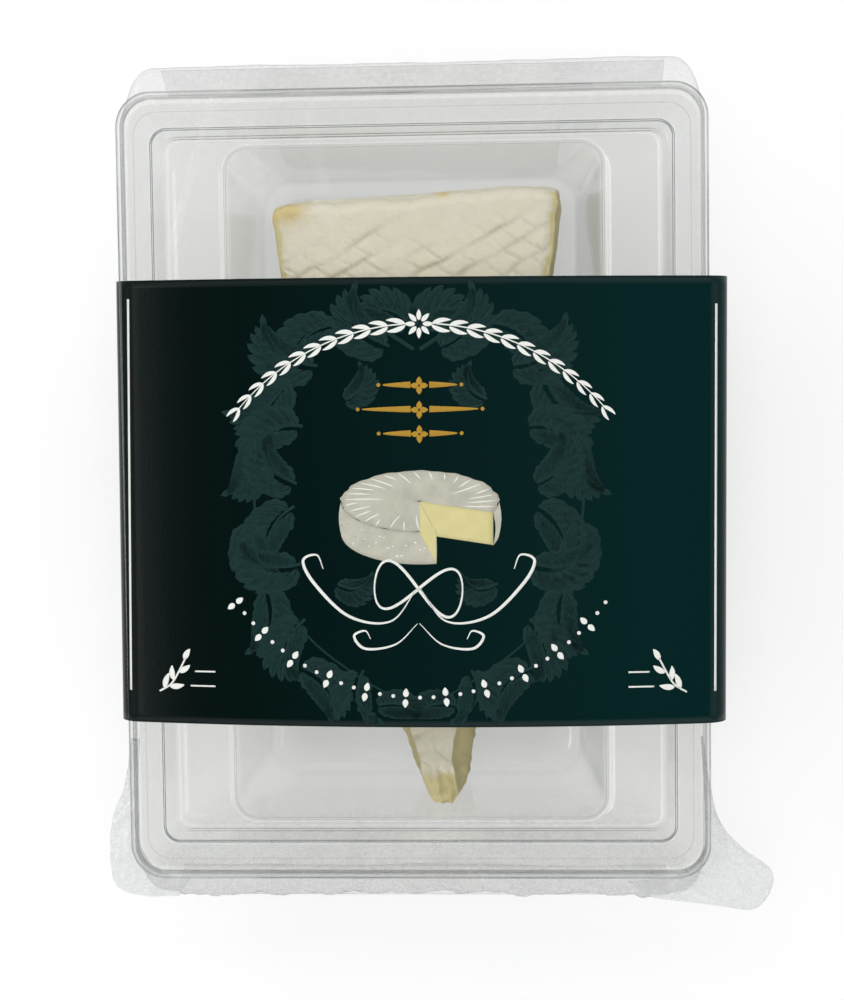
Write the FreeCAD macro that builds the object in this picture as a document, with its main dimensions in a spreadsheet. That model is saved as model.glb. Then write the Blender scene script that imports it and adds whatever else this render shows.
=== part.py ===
"""A wedge of vegan brie in its retail pack, lying on its back.

A clear formed tray holds the wedge. A sealed film bag wraps the tray, and a card
sleeve goes round the bag. Millimetres. X is the pack's width, Y runs from the wedge's
tip towards its wide end, and Z points out of the shown front. The origin is on the
sleeve's flat back, which the pack rests on, under the middle of the tray.
"""
import FreeCAD, Part
import math
import os
import re
import Sketcher

doc = FreeCAD.newDocument("VeganBriePack")

sizes = {
    # Tray: a flange round a shallow basin, whose two side ledges flank a deep well.
    "trayWidth": 126.0,
    "trayLength": 171.0,
    "trayCorner": 6.5,
    "trayWall": 0.5,
    "lipDepth": 2.2,
    "rimSide": 6.0,
    "rimEnd": 6.65,
    "beadWidth": 1.5,
    "beadHeight": 0.4,
    "basinCorner": 3.75,
    "ledgeDepth": 8.0,
    "ledgeDraft": 2.3,
    "ledgeWidth": 12.7,
    "ledgeFillet": 1.8,
    "wellDepth": 38.0,
    "wellDraft": 7.6,
    "endDraft": 8.35,
    "mouthCorner": 5.5,
    "floorCorner": 7.0,
    "floorFillet": 4.0,
    # Cheese: a sector whose soft paste bulges past the rind, turned a little in the well.
    "wedgeHeight": 25.0,
    "wedgeSideGap": 4.8,
    "wedgeEndGap": 6.0,
    "wedgeFootGap": 5.0,
    "wedgeTipGap": 1.5,
    "tipWidth": 6.0,
    "pasteBulge": 1.6,
    "wedgeCorner": 2.0,
    "tipCorner": 2.4,
    "rindEdge": 1.5,
    "wedgeTurn": 2.6,
    "wedgeShift": 2.8,
    "groovePitch": 4.6,
    "grooveDepth": 0.6,
    "grooveRadius": 1.0,
    "grooveAngle": 27.0,
    # Film bag: snug at the flange, puffed out past both ends, with crimped seals.
    "filmWall": 0.3,
    "filmEase": 0.3,
    "endPuff": 6.4,
    "puffDrop": 7.0,
    "lipPuff": 2.6,
    "sealWidth": 10.0,
    "sealThickness": 0.5,
    "sealInset": 5.0,
    "sealLean": 25.0,
    "earInset": 2.6,
    "earAlong": 15.5,
    "earDrop": 1.5,
    "earOverlap": 4.0,
    "earCorner": 2.0,
    "earRoot": 32.0,
    "earWidth": 14.0,
    "earReach": 19.5,
    "earTurn": 44.4,
    "foldInset": 1.6,
    "foldRoot": 22.0,
    "foldWidth": 8.0,
    "foldReach": 9.0,
    "foldTurn": 48.7,
    # Sleeve: a closed band of card with an arched front, round shoulders and a flat back.
    "cardThickness": 0.5,
    "sleeveBand": 97.0,
    "sleeveDrop": 3.1,
    "sleeveCrown": 8.0,
    "sideSlack": 3.4,
    "shoulderRadius": 6.0,
    "backCorner": 4.0,
    # Clearance between pieces that rest on each other.
    "seat": 0.1,
}

sheet = doc.addObject("Spreadsheet::Sheet", "Sizes")
for row, (alias, amount) in enumerate(sizes.items(), start=1):
    sheet.set(f"A{row}", alias)
    sheet.set(f"B{row}", str(amount))
    sheet.setAlias(f"B{row}", alias)
doc.recompute()

aliasWord = re.compile(r"\b(" + "|".join(sizes) + r")\b")


def cells(formula):
    """Point every size named in a formula at its cell."""
    return aliasWord.sub(r"Sizes.\1", formula)


def number(formula):
    return float(sheet.evalExpression(cells(formula)))


# Heights of the stack, from the sleeve's back upwards.
bagFloor = "(cardThickness + seat)"
trayBase = f"({bagFloor} + filmWall + seat)"
wellFloor = f"({trayBase} + trayWall)"
flangeTop = f"({wellFloor} + wellDepth)"
ledgeTop = f"({flangeTop} - ledgeDepth)"
bagTop = f"({flangeTop} + beadHeight + seat + filmWall)"

# Plan sizes of the tray's inside: the well narrows evenly from the flange to its floor.
basinWidth = "(trayWidth - 2 * rimSide)"
basinLength = "(trayLength - 2 * rimEnd)"
ledgeSpan = f"({basinWidth} - 2 * ledgeDraft)"
ledgeLength = f"({basinLength} - 2 * ledgeDraft)"
sideRun = "(wellDraft / wellDepth)"
mouthWidth = f"({ledgeSpan} - 2 * ledgeWidth + 2 * {sideRun} * ledgeDepth)"
floorWidth = f"({mouthWidth} - 2 * wellDraft)"
floorLength = f"({basinLength} - 2 * endDraft)"

# Half sizes of the film bag's outside at the flange.
bagHalfWidth = "(trayWidth / 2 + filmEase + filmWall)"
bagHalfLength = "(trayLength / 2 + filmEase + filmWall)"


def newBody(label):
    body = doc.addObject("PartDesign::Body", label)
    body.Label = label
    return body


def originPart(body, role):
    """One of the planes or axes that a body brings with it."""
    return next(item for item in body.Origin.OriginFeatures if item.Role == role)


def attach(feature, body, place, turn=FreeCAD.Rotation(), role="XY_Plane"):
    """Set a sketch or primitive on a plane of its body, turned, at a place given by formulas."""
    feature.AttachmentSupport = [(originPart(body, role), "")]
    feature.MapMode = "FlatFace"
    feature.AttachmentOffset = FreeCAD.Placement(FreeCAD.Vector(), turn)
    for axis, formula in zip("xyz", place):
        feature.setExpression(f"AttachmentOffset.Base.{axis}", cells(formula))


def turnAbout(x, y, z, angle):
    return FreeCAD.Rotation(FreeCAD.Vector(x, y, z), number(angle))


def dimension(sketch, name, formula, kind, *points):
    """Add one dimension to a sketch and bind it to the sheet."""
    index = sketch.addConstraint(Sketcher.Constraint(kind, *points, number(formula)))
    sketch.renameConstraint(index, name)
    sketch.setExpression(f"Constraints.{name}", cells(formula))


def trapezoid(body, name, place, far, near, turn="0"):
    """A sketch of a rounded trapezoid that is even about its own Y, at a place of the pack.

    far and near each give the width of a side, its distance from X and its corner radius.
    """
    sketch = body.newObject("Sketcher::SketchObject", name)
    attach(sketch, body, place, turnAbout(0, 0, 1, turn))
    farWidth, farSide, farCorner = [number(formula) for formula in far]
    nearWidth, nearSide, nearCorner = [number(formula) for formula in near]
    top = FreeCAD.Vector(farWidth / 2, farSide, 0)
    low = FreeCAD.Vector(nearWidth / 2, -nearSide, 0)
    topLeft = FreeCAD.Vector(-top.x, top.y, 0)
    lowLeft = FreeCAD.Vector(-low.x, low.y, 0)

    def corner(point, back, ahead, radius):
        """The two ends and the middle of the arc that rounds one corner."""
        towardsBack = (back - point).normalize()
        towardsAhead = (ahead - point).normalize()
        half = towardsBack.getAngle(towardsAhead) / 2
        centre = point + (towardsBack + towardsAhead).normalize() * (radius / math.sin(half))
        reach = radius / math.tan(half)
        middle = centre + (point - centre).normalize() * radius
        return point + towardsBack * reach, middle, point + towardsAhead * reach

    # Round the outline anticlockwise, from the far side's right end.
    turns = [
        corner(top, low, topLeft, farCorner),
        corner(topLeft, top, lowLeft, farCorner),
        corner(lowLeft, topLeft, low, nearCorner),
        corner(low, lowLeft, top, nearCorner),
    ]
    for place, (start, middle, end) in enumerate(turns):
        following = turns[(place + 1) % len(turns)]
        sketch.addGeometry(Part.Arc(start, middle, end), False)
        sketch.addGeometry(Part.LineSegment(end, following[0]), False)
    for edge in range(8):
        sketch.addConstraint(Sketcher.Constraint("Tangent", edge, 2, (edge + 1) % 8, 1))
    farLine, nearLine = 1, 5
    sketch.addConstraint(Sketcher.Constraint("Symmetric", farLine, 1, farLine, 2, -2))
    sketch.addConstraint(Sketcher.Constraint("Symmetric", nearLine, 1, nearLine, 2, -2))
    sketch.addConstraint(Sketcher.Constraint("Equal", 0, 2))
    sketch.addConstraint(Sketcher.Constraint("Equal", 4, 6))
    rightLine = 7
    for point, line in ((top, farLine), (low, nearLine)):
        mark = sketch.addGeometry(Part.Point(point), True)
        sketch.addConstraint(Sketcher.Constraint("PointOnObject", mark, 1, line))
        sketch.addConstraint(Sketcher.Constraint("PointOnObject", mark, 1, rightLine))
    farMark, nearMark = 8, 9
    dimension(sketch, "farReach", f"({far[0]}) / 2", "DistanceX", -1, 1, farMark, 1)
    dimension(sketch, "nearReach", f"({near[0]}) / 2", "DistanceX", -1, 1, nearMark, 1)
    dimension(sketch, "farSide", far[1], "DistanceY", -1, 1, farLine, 1)
    dimension(sketch, "nearSide", near[1], "DistanceY", nearLine, 1, -1, 1)
    dimension(sketch, "farCorner", far[2], "Radius", 0)
    dimension(sketch, "nearCorner", near[2], "Radius", 4)
    return sketch


def rectangle(body, name, height, width, length, corner):
    """A rounded rectangle in the middle of the pack."""
    side = (width, f"({length}) / 2", corner)
    return trapezoid(body, name, ("0", "0", height), side, side)


def loft(body, name, kind, sections, ruled=True):
    feature = body.newObject(f"PartDesign::{kind}", name)
    feature.Profile = sections[0]
    feature.Sections = sections[1:]
    feature.Ruled = ruled
    doc.recompute()
    return feature


def pad(body, name, kind, sketch, length, turned=False):
    """A Pad along the sketch's normal or a Pocket against it; turned swaps the direction."""
    feature = body.newObject(f"PartDesign::{kind}", name)
    feature.Profile = sketch
    feature.setExpression("Length", cells(length))
    feature.Reversed = turned
    doc.recompute()
    return feature


def roundLevel(body, name, height, radius):
    """Round every edge of a body that lies level at one height."""
    level = number(height)
    edges = []
    for index, edge in enumerate(body.Shape.Edges, start=1):
        box = edge.BoundBox
        if abs(box.ZMin - level) < 1e-4 and abs(box.ZMax - level) < 1e-4:
            edges.append(f"Edge{index}")
    base = body.Tip
    feature = body.newObject("PartDesign::Fillet", name)
    feature.Base = (base, edges)
    feature.setExpression("Radius", cells(radius))
    doc.recompute()
    return feature


def trayForm(label, skin):
    """Basin and well as a solid, grown outwards and downwards by a skin.

    With no skin it is the room inside the tray, and with the wall it is the outside,
    which carries the flange, its turned-down lip and its bead.
    """
    body = newBody(label)
    if skin == "0":
        mouth = rectangle(body, "MouthOutline", flangeTop, basinWidth, basinLength, "basinCorner")
        pad(body, "Mouth", "Pad", mouth, "2 * beadHeight")
    else:
        outline = rectangle(body, "LipOutline", flangeTop, "trayWidth", "trayLength", "trayCorner")
        pad(body, "Flange", "Pad", outline, "lipDepth", turned=True)
        hollow = rectangle(
            body, "LipHollow", f"{flangeTop} - lipDepth", "trayWidth - 2 * trayWall",
            "trayLength - 2 * trayWall", "trayCorner - trayWall",
        )
        pad(body, "UnderFlange", "Pocket", hollow, "lipDepth - trayWall", turned=True)
        bead = rectangle(
            body, "BeadOutline", flangeTop, f"{basinWidth} + 2 * beadWidth",
            f"{basinLength} + 2 * beadWidth", "basinCorner + beadWidth",
        )
        pad(body, "Bead", "Pad", bead, "beadHeight")
    basinTop = rectangle(
        body, "BasinTop", flangeTop, f"{basinWidth} + 2 * {skin}",
        f"{basinLength} + 2 * {skin}", f"basinCorner + {skin}",
    )
    basinLow = rectangle(
        body, "BasinLow", f"{ledgeTop} - {skin}", f"{ledgeSpan} + 2 * {skin}",
        f"{ledgeLength} + 2 * {skin}", f"basinCorner + {skin}",
    )
    loft(body, "Basin", "AdditiveLoft", [basinTop, basinLow])
    roundLevel(body, "LedgeRounding", f"{ledgeTop} - {skin}", f"ledgeFillet + {skin}")
    wellTop = rectangle(
        body, "WellTop", flangeTop, f"{mouthWidth} + 2 * {skin}",
        f"{basinLength} + 2 * {skin}", f"mouthCorner + {skin}",
    )
    wellLow = rectangle(
        body, "WellLow", f"{wellFloor} - {skin}", f"{floorWidth} + 2 * {skin}",
        f"{floorLength} + 2 * {skin}", f"floorCorner + {skin}",
    )
    loft(body, "Well", "AdditiveLoft", [wellTop, wellLow])
    roundLevel(body, "FloorRounding", f"{wellFloor} - {skin}", f"floorFillet + {skin}")
    return body


def tray():
    outside = trayForm("TrayOutside", "trayWall")
    room = trayForm("TrayRoom", "0")
    shell = doc.addObject("Part::Cut", "Tray")
    shell.Base = outside
    shell.Tool = room
    shell.Label = "tray"
    return shell


def wellReach(height, gap):
    """How far the well's end wall stands from X at a height above the floor, less a gap."""
    return f"{floorLength} / 2 + endDraft * ({height}) / wellDepth - {gap}"


def cheeseWedge():
    """The wedge: rind above and below, paste that bulges between, and grooves in the rind."""
    body = newBody("cheese_wedge")
    foot = f"({wellFloor} + seat)"
    rindWidth = f"({floorWidth} - 2 * wedgeSideGap)"

    def slice(name, height, tipGap, swell):
        """One level of the wedge, swollen all round by so much."""
        far = (f"{rindWidth} + 2 * {swell}", f"{floorLength} / 2 - wedgeEndGap + {swell}", "wedgeCorner")
        near = (f"tipWidth + 2 * {swell}", f"{wellReach(height, tipGap)} + {swell}", "tipCorner")
        return trapezoid(body, name, ("0", "0", f"{foot} + {height}"), far, near)

    levels = [
        slice("Underside", "0", "wedgeFootGap", "(-rindEdge)"),
        slice("LowerRind", "rindEdge", "wedgeFootGap", "0"),
        slice("Paste", "(wedgeHeight / 2)", "(wedgeTipGap + pasteBulge)", "pasteBulge"),
        slice("UpperRind", "(wedgeHeight - rindEdge)", "wedgeTipGap", "0"),
        slice("Upperside", "wedgeHeight", "wedgeTipGap", "(-rindEdge)"),
    ]
    loft(body, "Wedge", "AdditiveLoft", levels, ruled=False)

    # Each groove is a long cylinder that dips into the upper rind, aslant across the wedge.
    slant = "(grooveAngle * 1deg)"
    halfRun = f"({rindWidth} / 2 / cos{slant})"
    first = f"(tipWidth - {wellReach('wedgeHeight', 'wedgeTipGap')})"
    groove = body.newObject("PartDesign::SubtractiveCylinder", "Groove")
    place = (
        f"-{rindWidth} / 2",
        f"{first} - {halfRun} * sin{slant}",
        f"{foot} + wedgeHeight + grooveRadius - grooveDepth",
    )
    attach(groove, body, place, turnAbout(0, 0, 1, "grooveAngle") * turnAbout(0, 1, 0, "90"))
    groove.setExpression("Radius", cells("grooveRadius"))
    groove.setExpression("Height", cells(f"2 * {halfRun}"))
    doc.recompute()
    grooves = body.newObject("PartDesign::LinearPattern", "Grooves")
    grooves.Originals = [groove]
    grooves.Direction = (originPart(body, "Y_Axis"), [""])
    step = f"(groovePitch / cos{slant})"
    steps = f"floor(({floorLength} / 2 - wedgeEndGap - {first}) / {step})"
    grooves.setExpression("Occurrences", cells(f"{steps} + 1"))
    grooves.setExpression("Length", cells(f"{steps} * {step}"))
    body.Tip = grooves
    doc.recompute()
    body.setExpression("Placement.Base.x", cells("wedgeShift"))
    body.setExpression("Placement.Rotation.Angle", cells("wedgeTurn"))
    return body


def filmBag():
    """The bag as a closed skin round the tray, with its end seals and loose corners."""
    body = newBody("film_bag")
    lipLevel = f"({flangeTop} - lipDepth - filmEase)"
    puffLevel = f"({flangeTop} - puffDrop)"
    floorHalf = f"({floorWidth} / 2 + trayWall + filmEase + filmWall)"
    floorHalfLength = f"({floorLength} / 2 + trayWall + filmEase + filmWall)"
    share = f"(({puffLevel} - {bagFloor}) / ({lipLevel} - {bagFloor}))"
    puffHalf = f"({floorHalf} + ({bagHalfWidth} - {floorHalf}) * {share})"
    puffHalfLength = f"({bagHalfLength} + endPuff)"

    def ring(name, height, halfWidth, halfLength, corner, inset):
        return rectangle(
            body, name, height, f"2 * ({halfWidth} - {inset})",
            f"2 * ({halfLength} - {inset})", f"{corner} - {inset}",
        )

    def skin(name, inset):
        flangeCorner = "trayCorner + filmEase + filmWall"
        return [
            ring(f"{name}Floor", f"{bagFloor} + {inset}", floorHalf, floorHalfLength,
                 "floorCorner + trayWall", inset),
            ring(f"{name}Puff", puffLevel, puffHalf, puffHalfLength,
                 "floorCorner + trayWall", inset),
            ring(f"{name}Lip", lipLevel, bagHalfWidth, f"{bagHalfLength} + lipPuff",
                 flangeCorner, inset),
            ring(f"{name}Front", f"{bagTop} - {inset}", bagHalfWidth, bagHalfLength,
                 flangeCorner, inset),
        ]

    loft(body, "Skin", "AdditiveLoft", skin("Outer", "0"))

    # A crimped seal hangs along each end, folded back towards the tray's floor.
    seal = body.newObject("PartDesign::AdditiveBox", "EndSeal")
    place = (
        f"sealInset - {puffHalf}",
        f"{puffHalfLength} - filmWall - sealWidth * sin(sealLean * 1deg)",
        f"{puffLevel} - sealWidth * cos(sealLean * 1deg)",
    )
    attach(seal, body, place, turnAbout(1, 0, 0, "-sealLean"))
    seal.setExpression("Length", cells(f"2 * ({puffHalf} - sealInset)"))
    seal.setExpression("Width", cells("sealThickness"))
    seal.setExpression("Height", cells("sealWidth"))
    doc.recompute()
    seals = body.newObject("PartDesign::Mirrored", "EndSeals")
    seals.Originals = [seal]
    seals.MirrorPlane = (originPart(body, "XZ_Plane"), [""])
    body.Tip = seals
    doc.recompute()

    # Loose corners of film stand out at the tip end: a wide ear right, a short fold left.
    corners = [
        ("Ear", f"{bagHalfWidth} - earInset", "earRoot", "earWidth", "earReach", "earTurn"),
        ("Fold", f"foldInset - {bagHalfWidth}", "foldRoot", "foldWidth", "foldReach", "-foldTurn"),
    ]
    for name, across, root, width, reach, turn in corners:
        place = (across, f"earAlong - {puffHalfLength}", f"{lipLevel} - earDrop")
        inner = (root, "earOverlap", "earCorner")
        outer = (width, reach, "earCorner")
        outline = trapezoid(body, f"{name}Outline", place, inner, outer, turn)
        pad(body, name, "Pad", outline, "sealThickness")
    loft(body, "Room", "SubtractiveLoft", skin("Inner", "filmWall"))
    return body


def sleeveProfile(body, name, inset):
    """The band's section, shrunk by an inset: front arch, two shoulders, two back corners."""
    sketch = body.newObject("Sketcher::SketchObject", name)
    attach(sketch, body, ("0", "0", "sleeveDrop - sleeveBand / 2"), role="XZ_Plane")
    shoulderX = f"({bagHalfWidth} + sideSlack - shoulderRadius)"
    reach = f"({bagHalfWidth} - {shoulderX})"
    innerRadius = "(shoulderRadius - cardThickness)"
    shoulderZ = f"({bagTop} + seat - sqrt({innerRadius} * {innerRadius} - {reach} * {reach}))"
    backX = f"({floorWidth} / 2 + trayWall + filmEase + filmWall)"
    crownZ = f"({flangeTop} + sleeveCrown)"
    radius = number("shoulderRadius") - number(inset)
    cornerRadius = number("backCorner") - number(inset)
    shoulder = FreeCAD.Vector(number(shoulderX), number(shoulderZ), 0)
    back = FreeCAD.Vector(number(backX), number("backCorner"), 0)
    crown = FreeCAD.Vector(0, number(crownZ) - number(inset), 0)

    # The side line touches both arcs; the arch touches both shoulders from above.
    run = shoulder - back
    lean = math.atan2(run.y, run.x) - math.asin((radius - cornerRadius) / run.Length)
    sideOut = FreeCAD.Vector(math.sin(lean), -math.cos(lean), 0)
    rise = crown.y - shoulder.y
    arch = (shoulder.x ** 2 + rise ** 2 - radius ** 2) / (2 * (rise - radius))
    centre = FreeCAD.Vector(0, crown.y - arch, 0)
    archOut = (shoulder - centre).normalize()

    def mirrored(point):
        return FreeCAD.Vector(-point.x, point.y, 0)

    def bend(middle, size, first, last):
        half = (first + last).normalize()
        return [middle + first * size, middle + half * size, middle + last * size]

    down = FreeCAD.Vector(0, -1, 0)
    rightShoulder = bend(shoulder, radius, sideOut, archOut)
    rightBack = bend(back, cornerRadius, down, sideOut)
    leftShoulder = [mirrored(point) for point in reversed(rightShoulder)]
    leftBack = [mirrored(point) for point in reversed(rightBack)]
    sketch.addGeometry(Part.Arc(rightShoulder[2], crown, leftShoulder[0]), False)
    sketch.addGeometry(Part.Arc(*leftShoulder), False)
    sketch.addGeometry(Part.LineSegment(leftShoulder[2], leftBack[0]), False)
    sketch.addGeometry(Part.Arc(*leftBack), False)
    sketch.addGeometry(Part.LineSegment(leftBack[2], rightBack[0]), False)
    sketch.addGeometry(Part.Arc(*rightBack), False)
    sketch.addGeometry(Part.LineSegment(rightBack[2], rightShoulder[0]), False)
    sketch.addGeometry(Part.Arc(*rightShoulder), False)
    for edge in range(8):
        sketch.addConstraint(Sketcher.Constraint("Tangent", edge, 2, (edge + 1) % 8, 1))
    sketch.addConstraint(Sketcher.Constraint("Symmetric", 4, 1, 4, 2, -2))
    sketch.addConstraint(Sketcher.Constraint("Symmetric", 1, 3, 7, 3, -2))
    sketch.addConstraint(Sketcher.Constraint("Equal", 1, 7))
    sketch.addConstraint(Sketcher.Constraint("Equal", 3, 5))
    mark = sketch.addGeometry(Part.Point(crown), True)
    sketch.addConstraint(Sketcher.Constraint("PointOnObject", mark, 1, 0))
    sketch.addConstraint(Sketcher.Constraint("PointOnObject", mark, 1, -2))
    dimension(sketch, "crown", f"{crownZ} - {inset}", "DistanceY", -1, 1, mark, 1)
    dimension(sketch, "shoulderSize", f"shoulderRadius - {inset}", "Radius", 7)
    dimension(sketch, "cornerSize", f"backCorner - {inset}", "Radius", 5)
    dimension(sketch, "shoulderAcross", shoulderX, "DistanceX", -1, 1, 7, 3)
    dimension(sketch, "shoulderUp", shoulderZ, "DistanceY", -1, 1, 7, 3)
    dimension(sketch, "cornerAcross", backX, "DistanceX", -1, 1, 5, 3)
    dimension(sketch, "cornerUp", "backCorner", "DistanceY", -1, 1, 5, 3)
    return sketch


def sleeve():
    """The card band, hollow from end to end, with its back at the origin's height."""
    body = newBody("sleeve")
    pad(body, "Band", "Pad", sleeveProfile(body, "BandOutside", "0"), "sleeveBand")
    inner = sleeveProfile(body, "BandInside", "cardThickness")
    pad(body, "Passage", "Pocket", inner, "sleeveBand", turned=True)
    return body


pieces = [tray(), cheeseWedge(), filmBag(), sleeve()]
doc.recompute()

for item in doc.Objects:
    if "Invalid" in item.State or "Error" in item.State:
        raise RuntimeError(f"{item.Name} was left {item.State}")
for piece in pieces:
    if piece.Shape.isNull() or not piece.Shape.isValid() or len(piece.Shape.Solids) != 1:
        raise RuntimeError(f"{piece.Label} isn't one valid solid")

os.makedirs("parts", exist_ok=True)
for piece in pieces:
    piece.Shape.exportStep(f"parts/{piece.Label}.step")
    print(piece.Label, f"{piece.Shape.Volume / 1000:.1f} cm3", piece.Shape.BoundBox)
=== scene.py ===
# Packed vegan brie wedge: cheese in a clear formed tray, wrapped in film, with a printed card sleeve.
import math
import bpy
import numpy as np
from mathutils import Matrix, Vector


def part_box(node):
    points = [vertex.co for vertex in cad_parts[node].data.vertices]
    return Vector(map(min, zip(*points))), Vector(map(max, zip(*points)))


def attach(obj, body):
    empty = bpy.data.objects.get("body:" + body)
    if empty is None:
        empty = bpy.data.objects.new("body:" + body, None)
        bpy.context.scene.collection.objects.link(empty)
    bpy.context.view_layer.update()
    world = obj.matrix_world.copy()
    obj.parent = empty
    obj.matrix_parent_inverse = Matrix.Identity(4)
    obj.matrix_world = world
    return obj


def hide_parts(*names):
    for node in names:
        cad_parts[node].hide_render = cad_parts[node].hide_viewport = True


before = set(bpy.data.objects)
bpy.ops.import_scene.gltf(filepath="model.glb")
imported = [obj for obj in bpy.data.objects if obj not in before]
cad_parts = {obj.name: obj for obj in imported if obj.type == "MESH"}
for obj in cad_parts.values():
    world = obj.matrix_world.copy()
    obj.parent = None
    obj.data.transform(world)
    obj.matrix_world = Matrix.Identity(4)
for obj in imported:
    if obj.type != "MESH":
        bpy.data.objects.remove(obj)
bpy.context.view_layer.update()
bpy.context.scene.view_settings.view_transform = "Standard"
mm = 0.001
trayLow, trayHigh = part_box("tray")
cheeseLow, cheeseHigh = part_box("cheese_wedge")
sleeveLow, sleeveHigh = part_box("sleeve")


def buildMesh(name, points, faces, smooth=True):
    mesh = bpy.data.meshes.new(name)
    mesh.from_pydata(points.tolist(), [], faces)
    mesh.polygons.foreach_set("use_smooth", np.full(len(mesh.polygons), smooth))
    mesh.update()
    piece = bpy.data.objects.new(name, mesh)
    bpy.context.scene.collection.objects.link(piece)
    return piece


def gridFaces(rows, cols, closed=True, start=0):
    # one quad between neighbouring rows and columns; the last column joins the first when closed
    i, j = np.meshgrid(np.arange(rows - 1), np.arange(cols if closed else cols - 1), indexing="ij")
    k = (j + 1) % cols
    quads = np.stack([i * cols + j, i * cols + k, (i + 1) * cols + k, (i + 1) * cols + j], -1)
    return quads.reshape(-1, 4) + start


def ringMesh(name, rings, capFirst=True, capLast=True):
    # rings: rows x columns x 3 in millimetres, closed round each row; a cap is a fan to the row's middle
    rows, cols, _ = rings.shape
    points = rings.reshape(-1, 3)
    faces = gridFaces(rows, cols).tolist()
    j = np.arange(cols)
    k = (j + 1) % cols
    if capFirst:
        points = np.vstack([points, rings[0].mean(0)])
        hub = np.full(cols, len(points) - 1)
        faces += np.stack([hub, k, j], 1).tolist()
    if capLast:
        points = np.vstack([points, rings[-1].mean(0)])
        hub = np.full(cols, len(points) - 1)
        last = (rows - 1) * cols
        faces += np.stack([hub, last + j, last + k], 1).tolist()
    return buildMesh(name, points * mm, faces)


def paint(piece, name, values):
    # one number a point, for a material to read by name
    layer = piece.data.attributes.new(name, "FLOAT", "POINT")
    layer.data.foreach_set("value", np.asarray(values, dtype=np.float32).ravel())


def smoothStep(x, low, high):
    t = np.clip((x - low) / (high - low), 0, 1)
    return t * t * (3 - 2 * t)


def waves(x, y, seed, scales, sizes):
    # sum of sines in seeded directions: a smooth random field, about -1 to 1
    rng = np.random.default_rng(seed)
    total = np.zeros(np.broadcast(x, y).shape)
    for scale, size in zip(scales, sizes):
        for _ in range(4):
            angle, phase = rng.uniform(0, 2 * np.pi, 2)
            pitch = scale * rng.uniform(0.7, 1.4)
            total += size / 4 * np.sin((x * np.cos(angle) + y * np.sin(angle)) * 2 * np.pi / pitch + phase)
    return total


def roundedRing(halfX, halfY, corner, sides=(36, 48), arc=14):
    # points round a rounded rectangle, counter-clockwise from the middle of the right side
    u = np.linspace(-1, 1, sides[1], endpoint=False)
    v = np.linspace(-1, 1, sides[0], endpoint=False)
    a = np.linspace(0, np.pi / 2, arc, endpoint=False)
    flatX, flatY = halfX - corner, halfY - corner
    right = np.stack([np.full_like(u, halfX), u * flatY], 1)
    topRight = np.stack([flatX + corner * np.cos(a), flatY + corner * np.sin(a)], 1)
    top = np.stack([-v * flatX, np.full_like(v, halfY)], 1)
    topLeft = np.stack([-flatX - corner * np.sin(a), flatY + corner * np.cos(a)], 1)
    left = np.stack([np.full_like(u, -halfX), -u * flatY], 1)
    lowLeft = np.stack([-flatX - corner * np.cos(a), -flatY - corner * np.sin(a)], 1)
    low = np.stack([v * flatX, np.full_like(v, -halfY)], 1)
    lowRight = np.stack([flatX + corner * np.sin(a), -flatY - corner * np.cos(a)], 1)
    return np.vstack([right, topRight, top, topLeft, left, lowLeft, low, lowRight])


def newMaterial(name):
    material = bpy.data.materials.new(name)
    material.use_nodes = True
    nodes, links = material.node_tree.nodes, material.node_tree.links
    nodes.clear()
    return material, nodes, links


def node(nodes, kind, **values):
    made = nodes.new(kind)
    for key, value in values.items():
        setattr(made, key, value)
    return made


def mathNode(nodes, links, operation, first, second=None, clamp=False):
    made = nodes.new("ShaderNodeMath")
    made.operation = operation
    made.use_clamp = clamp
    for index, value in enumerate((first, second)):
        if value is None:
            continue
        if hasattr(value, "links"):
            links.new(value, made.inputs[index])
        else:
            made.inputs[index].default_value = value
    return made.outputs[0]


def mixColour(nodes, links, factor, first, second, blend="MIX"):
    made = nodes.new("ShaderNodeMix")
    made.data_type = "RGBA"
    made.blend_type = blend
    for index, value in ((0, factor), (6, first), (7, second)):
        if hasattr(value, "links"):
            links.new(value, made.inputs[index])
        elif index == 0:
            made.inputs[index].default_value = value
        else:
            made.inputs[index].default_value = (*value, 1)
    return made.outputs[2]


def noiseNode(nodes, links, place, scale, detail=4, roughness=0.5):
    made = nodes.new("ShaderNodeTexNoise")
    made.inputs["Scale"].default_value = scale
    made.inputs["Detail"].default_value = detail
    made.inputs["Roughness"].default_value = roughness
    links.new(place, made.inputs["Vector"])
    return made.outputs["Fac"]


def bumpNode(nodes, links, height, strength, depth):
    made = node(nodes, "ShaderNodeBump")
    made.inputs["Strength"].default_value = strength
    made.inputs["Distance"].default_value = depth
    links.new(height, made.inputs["Height"])
    return made.outputs[0]


def mixShaders(nodes, links, share, first, second):
    made = node(nodes, "ShaderNodeMixShader")
    if hasattr(share, "links"):
        links.new(share, made.inputs[0])
    else:
        made.inputs[0].default_value = share
    links.new(first.outputs[0], made.inputs[1])
    links.new(second.outputs[0], made.inputs[2])
    return made


def surface(nodes, links, shader, kind="ShaderNodeOutputMaterial"):
    links.new(shader.outputs[0], node(nodes, kind).inputs[0])


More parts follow.
